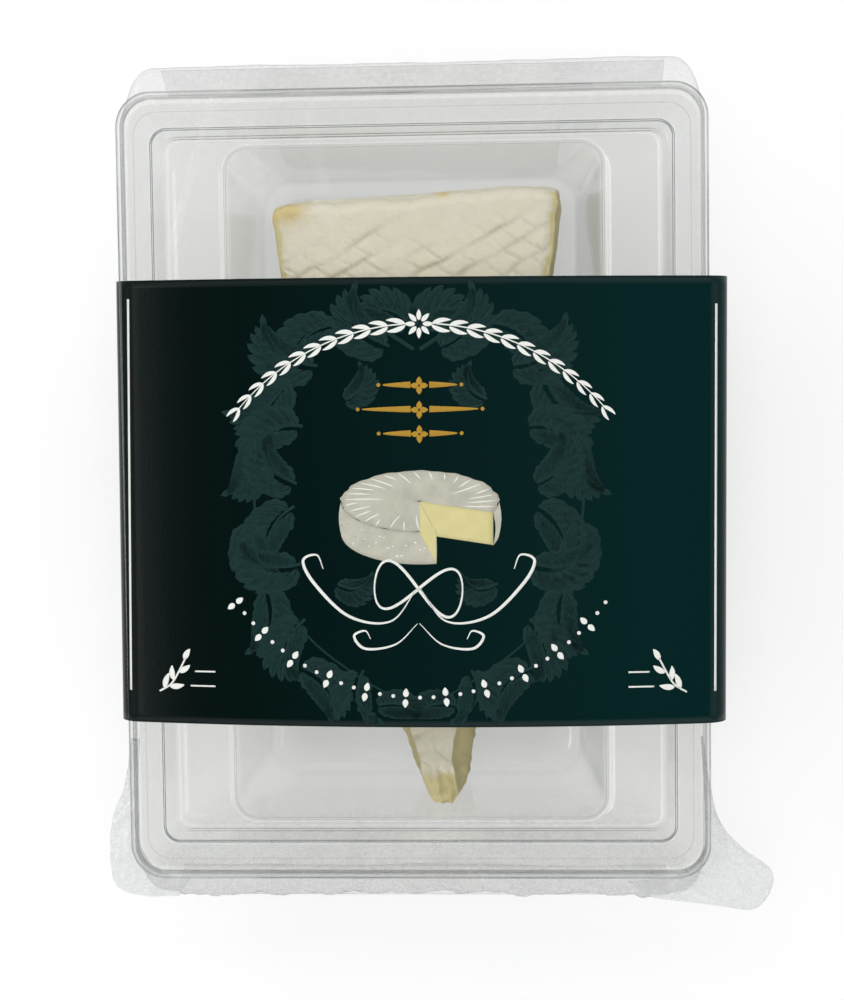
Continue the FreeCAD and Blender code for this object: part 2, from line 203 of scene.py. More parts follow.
plasticSettings = {
    # tint face on and edge on, even haze and the attribute that adds to it, roughness, grain of
    # the mirror, share mirrored face on, and the attribute that paints dark lines along bends, a painted
    # shade in place of their refraction
    "trayPlastic": dict(tint=(0.972, 0.975, 0.968), edgeTint=(0.60, 0.62, 0.62), haze=0.012,
                        hazeAndSheenFrom="", shine=0.09, grain=0.03, mirrorFacing=0.05, paintedLineFrom="bend"),
    "filmPlastic": dict(tint=(0.980, 0.981, 0.977), edgeTint=(0.66, 0.68, 0.69), haze=0.006,
                        hazeAndSheenFrom="crease", shine=0.13, grain=0.035, mirrorFacing=0.045, paintedLineFrom=""),
}
plasticLook = dict(
    paintedLineTint=(0.30, 0.33, 0.34), milkAndSheen=(0.86, 0.87, 0.87), edgePower=7.0, mirrorPower=5.0, mirrorRise=0.9,
    grainScale=220, grainDepth=0.0004, creaseScale=900,
)


def clearPlastic(name):
    # thin clear sheet: light goes straight through, tinted more where the sheet is seen edge on,
    # and it mirrors by Schlick's rule, a few percent face on and nearly all at grazing
    p, look = plasticSettings[name], plasticLook
    material, nodes, links = newMaterial(name)
    place = node(nodes, "ShaderNodeTexCoord").outputs["Object"]
    facing = node(nodes, "ShaderNodeLayerWeight")
    facing.inputs["Blend"].default_value = 0.5
    steep = mathNode(nodes, links, "POWER", facing.outputs["Facing"], look["edgePower"])
    through = node(nodes, "ShaderNodeBsdfTransparent")
    tinted = mixColour(nodes, links, steep, p["tint"], p["edgeTint"])
    if p["paintedLineFrom"]:
        # painted shade: the bend attribute darkens the tint in thin lines along the tray's bends
        bend = node(nodes, "ShaderNodeAttribute", attribute_name=p["paintedLineFrom"]).outputs["Fac"]
        tinted = mixColour(nodes, links, bend, tinted, look["paintedLineTint"])
    links.new(tinted, through.inputs["Color"])
    gloss = node(nodes, "ShaderNodeBsdfGlossy")
    gloss.inputs["Roughness"].default_value = p["shine"]
    grain = noiseNode(nodes, links, place, look["grainScale"], 3)
    links.new(bumpNode(nodes, links, grain, p["grain"], look["grainDepth"]), gloss.inputs["Normal"])
    edge = mathNode(nodes, links, "POWER", facing.outputs["Facing"], look["mirrorPower"])
    mirror = mathNode(nodes, links, "MULTIPLY_ADD", edge, look["mirrorRise"])
    mirror.node.inputs[2].default_value = p["mirrorFacing"]
    sheet = mixShaders(nodes, links, mirror, through, gloss)
    milkAndSheen = node(nodes, "ShaderNodeBsdfDiffuse")
    milkAndSheen.inputs["Color"].default_value = (*look["milkAndSheen"], 1)
    haze = p["haze"]
    # on the film this attribute adds milky white, which on the front's creases is a painted highlight
    if p["hazeAndSheenFrom"]:
        crease = node(nodes, "ShaderNodeAttribute", attribute_name=p["hazeAndSheenFrom"])
        grained = mathNode(nodes, links, "MULTIPLY", crease.outputs["Fac"],
                           noiseNode(nodes, links, place, look["creaseScale"], 5, 0.7))
        haze = mathNode(nodes, links, "ADD", grained, p["haze"], clamp=True)
    surface(nodes, links, mixShaders(nodes, links, haze, sheet, milkAndSheen))
    return material


cameraSettings = dict(place=(25.4, 25.3, 475.4), lens=72.0, sensor=36.0)
cameraAxes = Matrix(((0.9985, -0.0129, -0.0537), (0.0094, 0.9978, -0.0649), (0.0544, 0.0643, 0.9964)))
camera = bpy.data.objects.new("camera", bpy.data.cameras.new("camera"))
bpy.context.scene.collection.objects.link(camera)
camera.data.lens = cameraSettings["lens"]
camera.data.sensor_width = cameraSettings["sensor"]
camera.data.clip_start = 0.02
cameraPlace = Matrix.Translation([v * mm for v in cameraSettings["place"]])
camera.matrix_world = cameraPlace @ cameraAxes.transposed().to_4x4()
bpy.context.scene.camera = camera

lightSettings = {
    "keyPanel": dict(place=(0, 640, 600), aim=(0, 20, 30), size=(1400, 760), watts=4.7),
    "leftPanel": dict(place=(-640, 40, 480), aim=(0, 0, 20), size=(520, 860), watts=1.1),
    "rightPanel": dict(place=(720, 20, 400), aim=(0, 0, 20), size=(400, 860), watts=1.1),
    "frontPanel": dict(place=(0, -780, 430), aim=(0, -40, 10), size=(1400, 760), watts=4.1),
    # straight above, so kept out of the card's dull mirror
    "topPanel": dict(place=(20, 60, 1300), aim=(0, 0, 20), size=(900, 700), watts=4.2, mirrored=False),
    # a slim strip that the card's left edge mirrors
    "edgeStrip": dict(place=(-440, 40, 550), aim=(-58, 0, 40), size=(90, 860), watts=0.8),
}
for name, light in lightSettings.items():
    lamp = bpy.data.lights.new(name, "AREA")
    lamp.shape = "RECTANGLE"
    lamp.size, lamp.size_y = light["size"][0] * mm, light["size"][1] * mm
    lamp.energy = light["watts"]
    holder = bpy.data.objects.new(name, lamp)
    holder.visible_glossy = light.get("mirrored", True)
    bpy.context.scene.collection.objects.link(holder)
    start, aim = np.array(light["place"]) * mm, np.array(light["aim"]) * mm
    back = (start - aim) / np.linalg.norm(start - aim)
    side = np.cross((0, 1, 0), back)
    side /= np.linalg.norm(side)
    turn = Matrix(np.stack([side, np.cross(back, side), back], 1).tolist())
    holder.matrix_world = Matrix.Translation(start.tolist()) @ turn.to_4x4()

world = bpy.data.worlds.new("studio")
bpy.context.scene.world = world
world.use_nodes = True
worldNodes, worldLinks = world.node_tree.nodes, world.node_tree.links
worldNodes.clear()
# the room is dim for diffuse light; plastic and card mirror brighter walls and a dark ceiling
worldSettings = dict(room=(0.94, 0.97, 1.0), paper=(1, 1, 1), dim=0.12, walls=0.75, wallsEnd=0.5, ceiling=0.8)
roomLight = node(worldNodes, "ShaderNodeBackground")
roomLight.inputs["Color"].default_value = (*worldSettings["room"], 1)
seen = node(worldNodes, "ShaderNodeLightPath")
heading = node(worldNodes, "ShaderNodeSeparateXYZ")
worldLinks.new(node(worldNodes, "ShaderNodeTexCoord").outputs["Generated"], heading.inputs[0])
around = node(worldNodes, "ShaderNodeMapRange", interpolation_type="SMOOTHSTEP")
for socket, value in (("From Min", worldSettings["wallsEnd"]), ("From Max", worldSettings["ceiling"]),
                      ("To Min", worldSettings["walls"]), ("To Max", 0.0)):
    around.inputs[socket].default_value = value
worldLinks.new(heading.outputs[2], around.inputs["Value"])
mirrored = mathNode(worldNodes, worldLinks, "MULTIPLY", seen.outputs["Is Glossy Ray"], around.outputs[0])
strength = mathNode(worldNodes, worldLinks, "ADD", mirrored, worldSettings["dim"])
worldLinks.new(strength, roomLight.inputs["Strength"])
paper = node(worldNodes, "ShaderNodeBackground")
paper.inputs["Color"].default_value = (*worldSettings["paper"], 1)
pick = mixShaders(worldNodes, worldLinks, seen.outputs["Is Camera Ray"], roomLight, paper)
surface(worldNodes, worldLinks, pick, "ShaderNodeOutputWorld")

floorSettings = dict(half=1500.0, level=-0.15, colour=(0.42, 0.42, 0.422), glow=0.60)
corners = np.array([[-1, -1, 0], [1, -1, 0], [1, 1, 0], [-1, 1, 0]]) * floorSettings["half"]
corners[:, 2] = floorSettings["level"]
floor = buildMesh("floor", corners * mm, [[0, 1, 2, 3]], smooth=False)
# the paper lights the pack as a mid grey and looks white, so that it still takes the pack's shadow
floorPaper, nodes, links = newMaterial("floorPaper")
matte = node(nodes, "ShaderNodeBsdfDiffuse")
matte.inputs["Color"].default_value = (*floorSettings["colour"], 1)
glow = node(nodes, "ShaderNodeEmission")
path = node(nodes, "ShaderNodeLightPath")
shown = mathNode(nodes, links, "MAXIMUM", path.outputs["Is Camera Ray"], path.outputs["Is Glossy Ray"])
links.new(mathNode(nodes, links, "MULTIPLY", shown, floorSettings["glow"]), glow.inputs["Strength"])
both = node(nodes, "ShaderNodeAddShader")
links.new(matte.outputs[0], both.inputs[0])
links.new(glow.outputs[0], both.inputs[1])
surface(nodes, links, both)
floor.data.materials.append(floorPaper)
print("camera, light and floor are set")


traySettings = dict(
    wall=0.5, lipDepth=2.2, rimSide=6.0, rimEnd=6.65, beadWidth=1.5, beadHeight=0.4, beadShown=0.06,
    rimRound=0.5, mouthRound=0.35, ledgeDepth=8.0, ledgeDraft=2.3, ledgeWidth=12.7,
    ledgeBend=2.4, endShelf=0.9, wellDraft=7.6, endDraft=8.35, wellBend=1.2, floorBend=4.0,
    lipCorner=6.5, mouthCorner=3.75, wellCorner=5.5, floorCorner=7.0,
    # fine ribs on the bead at the upper right, a raised pad on each ledge, and points on each ring
    ribPitch=2.6, ribFrom=22.0, ribsAcross=(60, 76), ribHeight=0.10, padReach=75.0, padHeight=0.3, padFrom=40,
    padSlopes=(7.0, 1.6), ringSides=(90, 130),
)


def trayProfile(t, flange, floorLevel):
    # rings from the lip's foot over the bead, down the basin wall, along the ledge, down the well
    # to its floor. Each row: inset on the sides, inset on the ends, corner radius, level, bead share,
    # and share of painted shade drawn as a dark line.
    side, end = t["rimSide"], t["rimEnd"]
    rows = []

    def row(acrossSide, acrossEnd, corner, level, bead=0.0, bend=0.0):
        rows.append((acrossSide, acrossEnd, corner, level, bead, bend))

    for drop in (t["lipDepth"], 1.4, 0.7):
        row(0, 0, t["lipCorner"], flange - drop)
    for angle in np.linspace(0, np.pi / 2, 6):
        bend = t["rimRound"] * (1 - np.sin(angle))
        row(bend, bend, t["lipCorner"] - bend, flange - t["rimRound"] * (1 - np.cos(np.pi / 2 - angle)))
    beadOut = (side - 2.0 - t["beadWidth"], end - 2.0 - t["beadWidth"])
    row(beadOut[0] * 0.5 + 0.3, beadOut[1] * 0.5 + 0.3, 5.6, flange)
    for share in np.linspace(0, 1, 13):
        height = t["beadShown"] * math.sin(math.pi * share) ** 1.5
        along = share * t["beadWidth"]
        row(beadOut[0] + along, beadOut[1] + along, 5.2 - along * 0.4, flange + height,
            math.sin(math.pi * share), 0.22 * (0.05 < share < 0.1))
    row(side - 1.4, end - 1.4, 4.4, flange)
    for angle in np.linspace(0, np.pi / 2, 6):
        reach = t["mouthRound"] * math.sin(angle)
        row(side - 0.45 + reach, end - 0.45 + reach, t["mouthCorner"] + 0.4 - reach,
            flange - t["mouthRound"] * (1 - math.cos(angle)))
    # painted shade: these rows draw dark lines just under the basin's mouth
    for drop, reach, bend in ((0.55, -0.04, 0.0), (0.62, 0.0, 0.9), (0.78, 0.13, 0.9), (0.86, 0.17, 0.0)):
        row(side + reach, end + reach, t["mouthCorner"], flange - drop, bend=bend)
    ledge = flange - t["ledgeDepth"]
    draft = t["ledgeDraft"]
    for share in np.linspace(0.17, 0.68, 7):
        row(side + draft * share, end + draft * share, t["mouthCorner"] - 0.3 * share,
            flange - t["ledgeDepth"] * share)
    bend = t["ledgeBend"]
    for angle in np.linspace(0.15, np.pi / 2, 9):
        inward = draft * 0.7 + (bend - 0.1) * (1 - math.cos(angle))
        endward = draft * 0.55 + (t["endShelf"] + 0.35) * (1 - math.cos(angle))
        row(side + inward, end + endward, t["mouthCorner"], ledge + bend * (1 - math.sin(angle)))
    wellSide, wellEnd = side + t["ledgeWidth"] + draft, end + draft + t["endShelf"]
    for share in (0.15, 0.35, 0.6, 0.8):
        row(side + draft + bend + (t["ledgeWidth"] - bend - t["wellBend"]) * share,
            end + draft * 0.55 + t["endShelf"] + 0.35 + 0.25 * share, t["mouthCorner"] + 0.8 * share, ledge)
    # painted shade: one row draws a dark line along the well's bend
    for angle in np.linspace(0, np.pi / 2 * 0.86, 8):
        reach = t["wellBend"] * math.sin(angle)
        row(wellSide - t["wellBend"] + reach, wellEnd - 0.4 + reach * 0.5, t["wellCorner"],
            ledge - t["wellBend"] * (1 - math.cos(angle)), bend=0.45 * (1.15 < angle < 1.3))
    depth = ledge - floorLevel
    slopeSide = t["wellDraft"] * depth / (flange - floorLevel)
    slopeEnd = t["endDraft"] * depth / (flange - floorLevel)
    for share in np.linspace(0.06, 0.84, 12):
        row(wellSide + slopeSide * share, wellEnd + slopeEnd * share,
            t["wellCorner"] + (t["floorCorner"] - t["wellCorner"]) * share, ledge - depth * share)
    for angle in np.linspace(0.2, np.pi / 2, 9):
        inward = t["floorBend"] * (1 - math.cos(angle))
        row(wellSide + slopeSide * 0.86 + inward, wellEnd + slopeEnd * 0.86 + inward, t["floorCorner"],
            floorLevel + t["floorBend"] * (1 - math.sin(angle)))
    return rows


def makeTray():
    t = traySettings
    halfWidth, halfLength = trayHigh.x / mm, trayHigh.y / mm
    flange = trayHigh.z / mm - t["beadHeight"]
    floorLevel = trayLow.z / mm + t["wall"]
    rings, paintedLines = [], []
    for inSide, inEnd, corner, level, bead, bend in trayProfile(t, flange, floorLevel):
        flat = roundedRing(halfWidth - inSide, halfLength - inEnd, corner, t["ringSides"])
        ribs = smoothStep(flat[:, 1], *t["ribsAcross"])
        ribs = ribs * smoothStep(flat[:, 0], t["ribFrom"] - 6, t["ribFrom"] + 4)
        ripple = 0.5 - 0.5 * np.cos(flat[:, 0] * 2 * np.pi / t["ribPitch"])
        height = level - bead * t["ribHeight"] * ribs * ripple
        if abs(level - flange + t["ledgeDepth"]) < 1e-6:
            # a raised pad along each ledge stops short of the ends
            slope = np.where(flat[:, 1] > 0, *t["padSlopes"])
            pad = smoothStep((t["padReach"] - np.abs(flat[:, 1])) / slope, 0, 1)
            pad = pad * (np.abs(flat[:, 0]) > t["padFrom"])
            height = height + t["padHeight"] * pad
        rings.append(np.column_stack([flat, height * np.ones(len(flat))]))
        paintedLines.append(np.full(len(flat), float(bend)))
    last = rings[-1]
    for share in (0.85, 0.6, 0.3, 0.05):
        rings.append(last * np.array([share, share, 1]))
        paintedLines.append(np.zeros(len(last)))
    tray = ringMesh("tray_shell", np.array(rings)[::-1], capFirst=True, capLast=False)
    # the dark lines along the bends are painted shade
    paint(tray, "bend", np.append(np.array(paintedLines)[::-1].ravel(), 0.0))
    wall = tray.modifiers.new("wall", "SOLIDIFY")
    wall.thickness = t["wall"] * mm
    wall.offset = -1
    wall.use_even_offset = True
    tray.data.materials.append(clearPlastic("trayPlastic"))
    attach(tray, "root")
    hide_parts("tray")


makeTray()
print("tray made")


cheeseSettings = dict(
    # y and x of the two long edges, from the wide end to the tip
    leftEdge=((66, -32.4), (62, -32.8), (47, -30.8), (-4, -17.8), (-55, -5.4), (-67, -1.9), (-72.0, 0.6),
              (-74.9, 3.6)),
    rightEdge=((66, 32.2), (60, 32.9), (49, 31.4), (-4, 21.4), (-55, 12.6), (-67, 10.9), (-72.0, 9.7),
               (-74.9, 7.2)),
    wideEnd=64.6, tipEnd=-74.7, endLean=0.062, tipLean=5.4, tipFoot=2.0,
    # how far the rind's rim stands back from the edges, at the wide end and at the tip
    rindSetBack=(0.7, 2.7), cutSetBack=(0.8, 4.8),
    groovePitch=4.6, grooveDepth=0.55, grooveAngle=27.0, scaleLength=5.2, shingleHeight=0.42, bulge=1.2,
    # a yellow lump at the left corner of the wide end, and a small spot beside the middle
    lumpAt=(-28.5, 62.5), lumpSize=(3.4, 2.2), lumpOut=1.4, lumpUp=0.7,
    spotAt=(6.4, 64.2), spotSize=(1.5, 0.9),
    rows=300, across=150, sideRows=30, under=36,
    # size and push of the copies of the end sections that close both ends
    wideClosing=((0.2, 0.75), (0.5, 0.72), (0.8, 0.6), (0.95, 0.38)),
    tipClosing=((0.9, 0.3), (0.65, 0.5), (0.3, 0.6)),
)
cheeseLook = dict(
    paste=((0.86, 0.76, 0.42), (0.58, 0.50, 0.22)), bloom=((0.92, 0.88, 0.76), (0.80, 0.75, 0.60)),
    # groove is the painted shade colour for the rind's grooves
    mould=(0.87, 0.80, 0.58), groove=(0.50, 0.44, 0.28), ochre=((0.84, 0.67, 0.24), (0.66, 0.48, 0.14)),
    roughness=0.6, glowShare=0.12, glowRadius=(1.0, 0.8, 0.4), glowDepth=0.002, crumbScale=800,
    crumbStrength=0.55, crumbDepth=0.0004,
)


def hashed(values):
    # a number from 0 to 1 that jumps about with each value, the same at every run
    mixed = np.sin(values * 12.9898 + 4.1) * 43758.5453
    return mixed - np.floor(mixed)


def rindRelief(x, y):
    # slanted grooves part the rind into lanes, and short steep cuts part each lane into scales
    c = cheeseSettings
    g = math.radians(c["grooveAngle"])
    bentX = x + 1.3 * waves(x, y, 11, (34, 13), (0.7, 0.35))
    bentY = y + 1.2 * waves(x, y, 12, (28, 9), (0.7, 0.45))
    over = (-math.sin(g) * bentX + math.cos(g) * bentY) / c["groovePitch"]
    along = math.cos(g) * bentX + math.sin(g) * bentY
    lane = np.floor(over)
    inLane = over - lane
    toGroove = np.minimum(inLane, 1 - inLane) * c["groovePitch"]
    cell = (along + 2.6 * (inLane - 0.5)) / c["scaleLength"] + hashed(lane)
    number = np.floor(cell)
    inCell = cell - number
    toCut = np.minimum(inCell, 1 - inCell) * c["scaleLength"]
    cutHere = smoothStep(hashed(number * 3.7 + lane * 9.1), 0.25, 0.6)
    patches = smoothStep(waves(x, y, 13, (15, 7), (0.8, 0.5)), -0.3, 0.5)
    strong = (0.25 + 0.75 * hashed(lane * 1.7)) * (0.25 + 0.75 * patches)
    groove = strong * np.exp(-(toGroove / 0.62) ** 2)
    cut = 0.55 * cutHere * np.exp(-(toCut / 0.36) ** 2) * smoothStep(toGroove, 0.1, 0.6)
    shingle = 0.5 * (0.5 - inLane) + 0.45 * (hashed(number * 7.1 + lane * 3.7) - 0.5)
    return np.maximum(groove, cut), shingle


def cheeseSection():
    # side share (-1 left to 1 right) and height share round one cross section: up the right cut face,
    # over the rind, down the left cut face and back under
    c = cheeseSettings
    s = np.linspace(-1, 1, c["across"])
    k = np.linspace(0, 1, c["sideRows"] + 2)[1:-1]
    section = np.vstack([
        np.column_stack([np.ones(len(k)), k]), np.column_stack([s[::-1], np.ones(len(s))]),
        np.column_stack([-np.ones(len(k)), k[::-1]]),
        np.column_stack([np.linspace(-1, 1, c["under"]), np.zeros(c["under"])]),
    ])
    place = np.arange(len(section))[None, :]
    onTop = (place >= len(k)) & (place < len(k) + len(s))
    onSide = (place < 2 * len(k) + len(s)) & ~onTop
    return section, onTop, onSide


def brieMaterial():
    look = cheeseLook
    material, nodes, links = newMaterial("brieRindAndPaste")
    place = node(nodes, "ShaderNodeTexCoord").outputs["Object"]
    rindShare, grooveShadeShare, ochreShare = (
        node(nodes, "ShaderNodeAttribute", attribute_name=name).outputs["Fac"]
        for name in ("rind", "groove", "ochre"))
    fine = noiseNode(nodes, links, place, 380, 6, 0.65)
    broad = noiseNode(nodes, links, place, 90, 4, 0.6)
    paste = mixColour(nodes, links, noiseNode(nodes, links, place, 210, 5, 0.6), *look["paste"])
    bloom = mixColour(nodes, links, fine, *look["bloom"])
    cloudy = mathNode(nodes, links, "MULTIPLY", broad, 0.5)
    mould = mixColour(nodes, links, cloudy, bloom, look["mould"])
    # painted shade: the rind darkens towards the groove colour in its grooves
    dark = mathNode(nodes, links, "MULTIPLY", grooveShadeShare, 0.8, clamp=True)
    rindColour = mixColour(nodes, links, dark, mould, look["groove"])
    colour = mixColour(nodes, links, rindShare, paste, rindColour)
    ochre = mixColour(nodes, links, fine, *look["ochre"])
    colour = mixColour(nodes, links, ochreShare, colour, ochre)
    body = node(nodes, "ShaderNodeBsdfPrincipled")
    links.new(colour, body.inputs["Base Color"])
    body.inputs["Roughness"].default_value = look["roughness"]
    body.inputs["Subsurface Weight"].default_value = look["glowShare"]
    body.inputs["Subsurface Radius"].default_value = look["glowRadius"]
    body.inputs["Subsurface Scale"].default_value = look["glowDepth"]
    crumb = noiseNode(nodes, links, place, look["crumbScale"], 6, 0.65)
    links.new(bumpNode(nodes, links, crumb, look["crumbStrength"], look["crumbDepth"]), body.inputs["Normal"])
    surface(nodes, links, body)
    return material


def bell(x, y, middle, size):
    # one at the middle, falling off to nothing by the square of the distance in its exponent
    return np.exp(-((x - middle[0]) / size[0]) ** 2 - ((y - middle[1]) / size[1]) ** 2)


def closing(ring, push, shares):
    # shrinking copies of an end section. The face is the plane nearest to the ring, and the ring's
    # unevenness dies out towards its middle by the fourth power of the copy's size
    middle = ring.mean(0)
    plane = np.column_stack([ring[:, 0], ring[:, 2], np.ones(len(ring))])
    slopes = np.linalg.lstsq(plane, ring[:, 1], rcond=None)[0]
    uneven = ring[:, 1] - plane @ slopes
    made = []
    for size, out in shares:
        smaller = middle + (ring - middle) * np.array([size, 1, size])
        level = slopes[0] * smaller[:, 0] + slopes[1] * smaller[:, 2] + slopes[2]
        smaller[:, 1] = level + uneven * size ** 4 + push * out
        made.append(smaller)
    return np.array(made)


def makeCheese():
    # cross sections from the wide end to the tip
    c = cheeseSettings
    low, high = cheeseLow.z / mm, cheeseHigh.z / mm
    section, onTop, onSide = cheeseSection()
    side, up = section[None, :, 0], section[None, :, 1]
    v = np.linspace(0, 1, c["rows"])
    v = np.where(v < 0.06, v * 0.5, np.where(v > 0.94, 1 - (1 - v) * 0.5, 0.03 + (v - 0.06) * 0.94 / 0.88))
    share = np.repeat(v[:, None], len(section), 1)
    y = c["wideEnd"] + (c["tipEnd"] - c["wideEnd"]) * v
    rightPoints, leftPoints = np.array(c["rightEdge"])[::-1], np.array(c["leftEdge"])[::-1]
    right = np.interp(y, rightPoints[:, 0], rightPoints[:, 1])[:, None]
    left = np.interp(y, leftPoints[:, 0], leftPoints[:, 1])[:, None]
    level = np.repeat(y[:, None], len(section), 1)
    towardTip = smoothStep(share, 0.60, 0.93)
    rimWobble = waves(level, 0 * level, 8, (11, 4.2), (0.6, 0.4)) * (1 + 0.8 * towardTip)
    blunt = 1 - 0.75 * smoothStep(share, 0.90, 0.985)
    cutBack = (c["cutSetBack"][0] + (c["cutSetBack"][1] - c["cutSetBack"][0]) * towardTip) * blunt
    rindBack = (c["rindSetBack"][0] + (c["rindSetBack"][1] - c["rindSetBack"][0]) * towardTip) * blunt
    topRight = right - cutBack - 0.6 * rimWobble
    topLeft = left + rindBack + 0.4 * rimWobble
    topRight = np.maximum(topRight, (topLeft + topRight) / 2 + 0.8)
    topLeft = np.minimum(topLeft, topRight - 1.6)
    # the soft paste swells and crumbles, most of all near the tip
    lumps = np.where(side > 0, waves(level + 40, up * 25 + 9, 5, (15, 6.5, 2.8), (0.55, 0.45, 0.4)),
                     waves(level, up * 25, 3, (15, 6.5, 2.8), (0.55, 0.45, 0.4)))
    lumps = lumps * (1 + 1.5 * towardTip)
    swell = np.sin(np.pi * np.clip(up * 0.92 + 0.08, 0, 1)) ** 0.5
    outerRight = right - c["bulge"] + (c["bulge"] + 0.35 * lumps) * swell
    outerLeft = left + c["bulge"] - (c["bulge"] + 0.35 * lumps) * swell
    shoulder = smoothStep(up, 0.66, 1.0) ** 1.3
    sideX = np.where(side > 0, outerRight * (1 - shoulder) + topRight * shoulder,
                     outerLeft * (1 - shoulder) + topLeft * shoulder)
    between = (side + 1) / 2
    topX = topLeft + (topRight - topLeft) * between
    underX = (left + 2.2) + (right - left - 4.4) * between
    x = np.where(onTop, topX, np.where(onSide, sideX, underX))

    groove, shingle = rindRelief(x, level)
    kept = waves(x, level, 21, (26, 12), (0.9, 0.6)) + 0.35 - 1.3 * smoothStep(level, 52, 64)
    worn = 0.15 + 0.85 * smoothStep(kept, -0.5, 0.5)
    inside = smoothStep(1 - np.abs(side), 0.0, 0.07)
    fade = inside * smoothStep(share, 0.0, 0.03) * (1 - smoothStep(share, 0.93, 0.975))
    relief = (-c["grooveDepth"] * groove + c["shingleHeight"] * shingle) * worn * fade
    fuzz = (0.08 * waves(x, level, 31, (3.1, 1.4), (0.7, 0.5))
            + 0.35 * waves(x, level, 33, (40, 19), (0.8, 0.45)))
    rimDrop = 0.8 * (1 - smoothStep(1 - np.abs(side), 0.0, 0.09))
    z = np.where(onTop, high - 1.0 + relief + fuzz - rimDrop,
                 np.where(onSide, low + 0.3 + (high - 2.2 - low) * up ** 1.02, low))
    # the wide end rounds over within a few millimetres; the tip crumbles and leans with the tray's end
    over = np.clip(share / 0.022, 0, 1)
    z = low + (z - low) * (1 - 0.14 * (1 - np.sqrt(np.clip(1 - (1 - over) ** 2, 0, 1))))
    crumbs = 1.1 * waves(x, level, 44, (6, 2.6), (0.8, 0.7)) * smoothStep(share, 0.915, 0.95)
    lower = 1 - 0.02 * smoothStep(share, 0.90, 1.0) - 0.10 * smoothStep(share, 0.99, 1.0)
    z = np.where(up > 0, low + (z - low) * lower + crumbs * up, z)
    ragged = (0.9 * waves(x, 0 * x, 41, (18, 6), (0.7, 0.4))) * (1 - smoothStep(share, 0, 0.07))
    sunk = np.clip((high - z) / (high - low), 0, 1)
    atTip = smoothStep(share, 0.74, 1.0)
    y = level + ragged + c["endLean"] * x * (1 - smoothStep(share, 0, 0.35))
    y = y + atTip * (c["tipLean"] * sunk + c["tipFoot"] * sunk ** 5) - 0.5 * crumbs * atTip
    lump = bell(x, level, c["lumpAt"], c["lumpSize"])
    y = y + c["lumpOut"] * lump
    z = z + c["lumpUp"] * lump * onTop
    rings = np.stack([x, y, z], -1)
    wide, tip = c["wideClosing"], c["tipClosing"]
    whole = np.concatenate([closing(rings[0], 1, wide), rings, closing(rings[-1], -1, tip)])
    cheese = ringMesh("brie_wedge", whole[:, ::-1])
    ragEdge = 0.03 + 0.03 * waves(level, 0 * level, 47, (9, 3.5, 1.6), (0.8, 0.6, 0.4))
    rind = smoothStep(1 - np.abs(side) - np.clip(ragEdge, 0, 1), 0.0, 0.03) * onTop
    rind = rind * (1 - smoothStep(share + 0.008 * waves(x, level, 45, (8, 3), (0.8, 0.6)), 0.935, 0.950))
    rind = np.maximum(rind, (1 - smoothStep(share, 0.004, 0.010)) * (up > 0.04))
    patches = smoothStep(waves(level, 0 * level, 46, (13, 5), (0.9, 0.6)), 0.0, 0.4)
    stain = 0.8 * np.exp(-((x - 30.8) / 1.8) ** 2) * patches
    rind = rind * (1 - 0.85 * smoothStep(stain * onTop, 0.25, 0.7))
    spot = bell(x, level, c["spotAt"], c["spotSize"])
    ochre = np.clip(1.5 * lump * onTop, 0, 1) * 0.75 + 0.8 * spot * (up > 0.8)
    # the grooves' depth, which the material turns into painted shade
    depth = groove * worn * fade * onTop

    def padded(values, ends):
        # an attribute's values with those of both closings and of the two middle points
        full = np.concatenate([np.full((len(wide), values.shape[1]), ends[0]), values * np.ones_like(share),
                               np.full((len(tip), values.shape[1]), ends[1])])
        return np.append(full[:, ::-1].ravel(), ends)

    paint(cheese, "rind", padded(rind, (1.0, 0.0)))
    paint(cheese, "groove", padded(depth, (0.0, 0.0)))
    paint(cheese, "ochre", padded(ochre, (0.0, 0.0)))
    cheese.data.materials.append(brieMaterial())
    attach(cheese, "root")
    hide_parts("cheese_wedge")


makeCheese()
print("cheese made")


filmSettings = dict(
    front=40.2, lipOut=0.35, edgeRound=0.7, floorRound=2.5, puffEnd=7.0, floorLevel=0.6,
    floorHalf=(37.1, 71.6), corner=7.0,
    # down the sides: level, share of the puff at the ends, and width against the lip
    sides=((5.0, 0.06, -21.5), (12.0, 0.26, -14.9), (20.0, 0.52, -8.2), (27.0, 0.80, -3.0),
           (31.0, 0.96, -0.8), (33.2, 1.0, 0.2), (35.4, 0.8, 0.4), (37.6, 0.42, 0.3), (39.0, 0.2, 0.0)),
    widest=33.2, endSlope=0.44, ringSides=(190, 190), ringArc=20,
    # creases on the taut front: both ends, height and half width
    creases=(
        ((-40.5, 88.0), (-57.5, 40.0), 0.34, 0.95), ((-47.5, 86.0), (-61.5, 52.0), 0.16, 0.8),
        ((-22.0, 86.0), (-14.0, 42.0), 0.16, 2.0), ((-36.0, 85.0), (-30.0, 55.0), 0.14, 1.5),
        ((33.0, 84.5), (37.5, 75.0), 0.12, 0.9), ((-60.0, 88.0), (-50.0, 78.0), 0.20, 0.7),
        ((-62.0, 84.0), (-52.0, 74.0), 0.16, 0.7), ((-58.0, -84.0), (-46.0, -62.0), 0.12, 1.1),
        ((60.0, -86.0), (48.0, -60.0), 0.12, 1.2), ((8.0, -84.0), (3.0, -62.0), 0.10, 1.4),
    ),
)


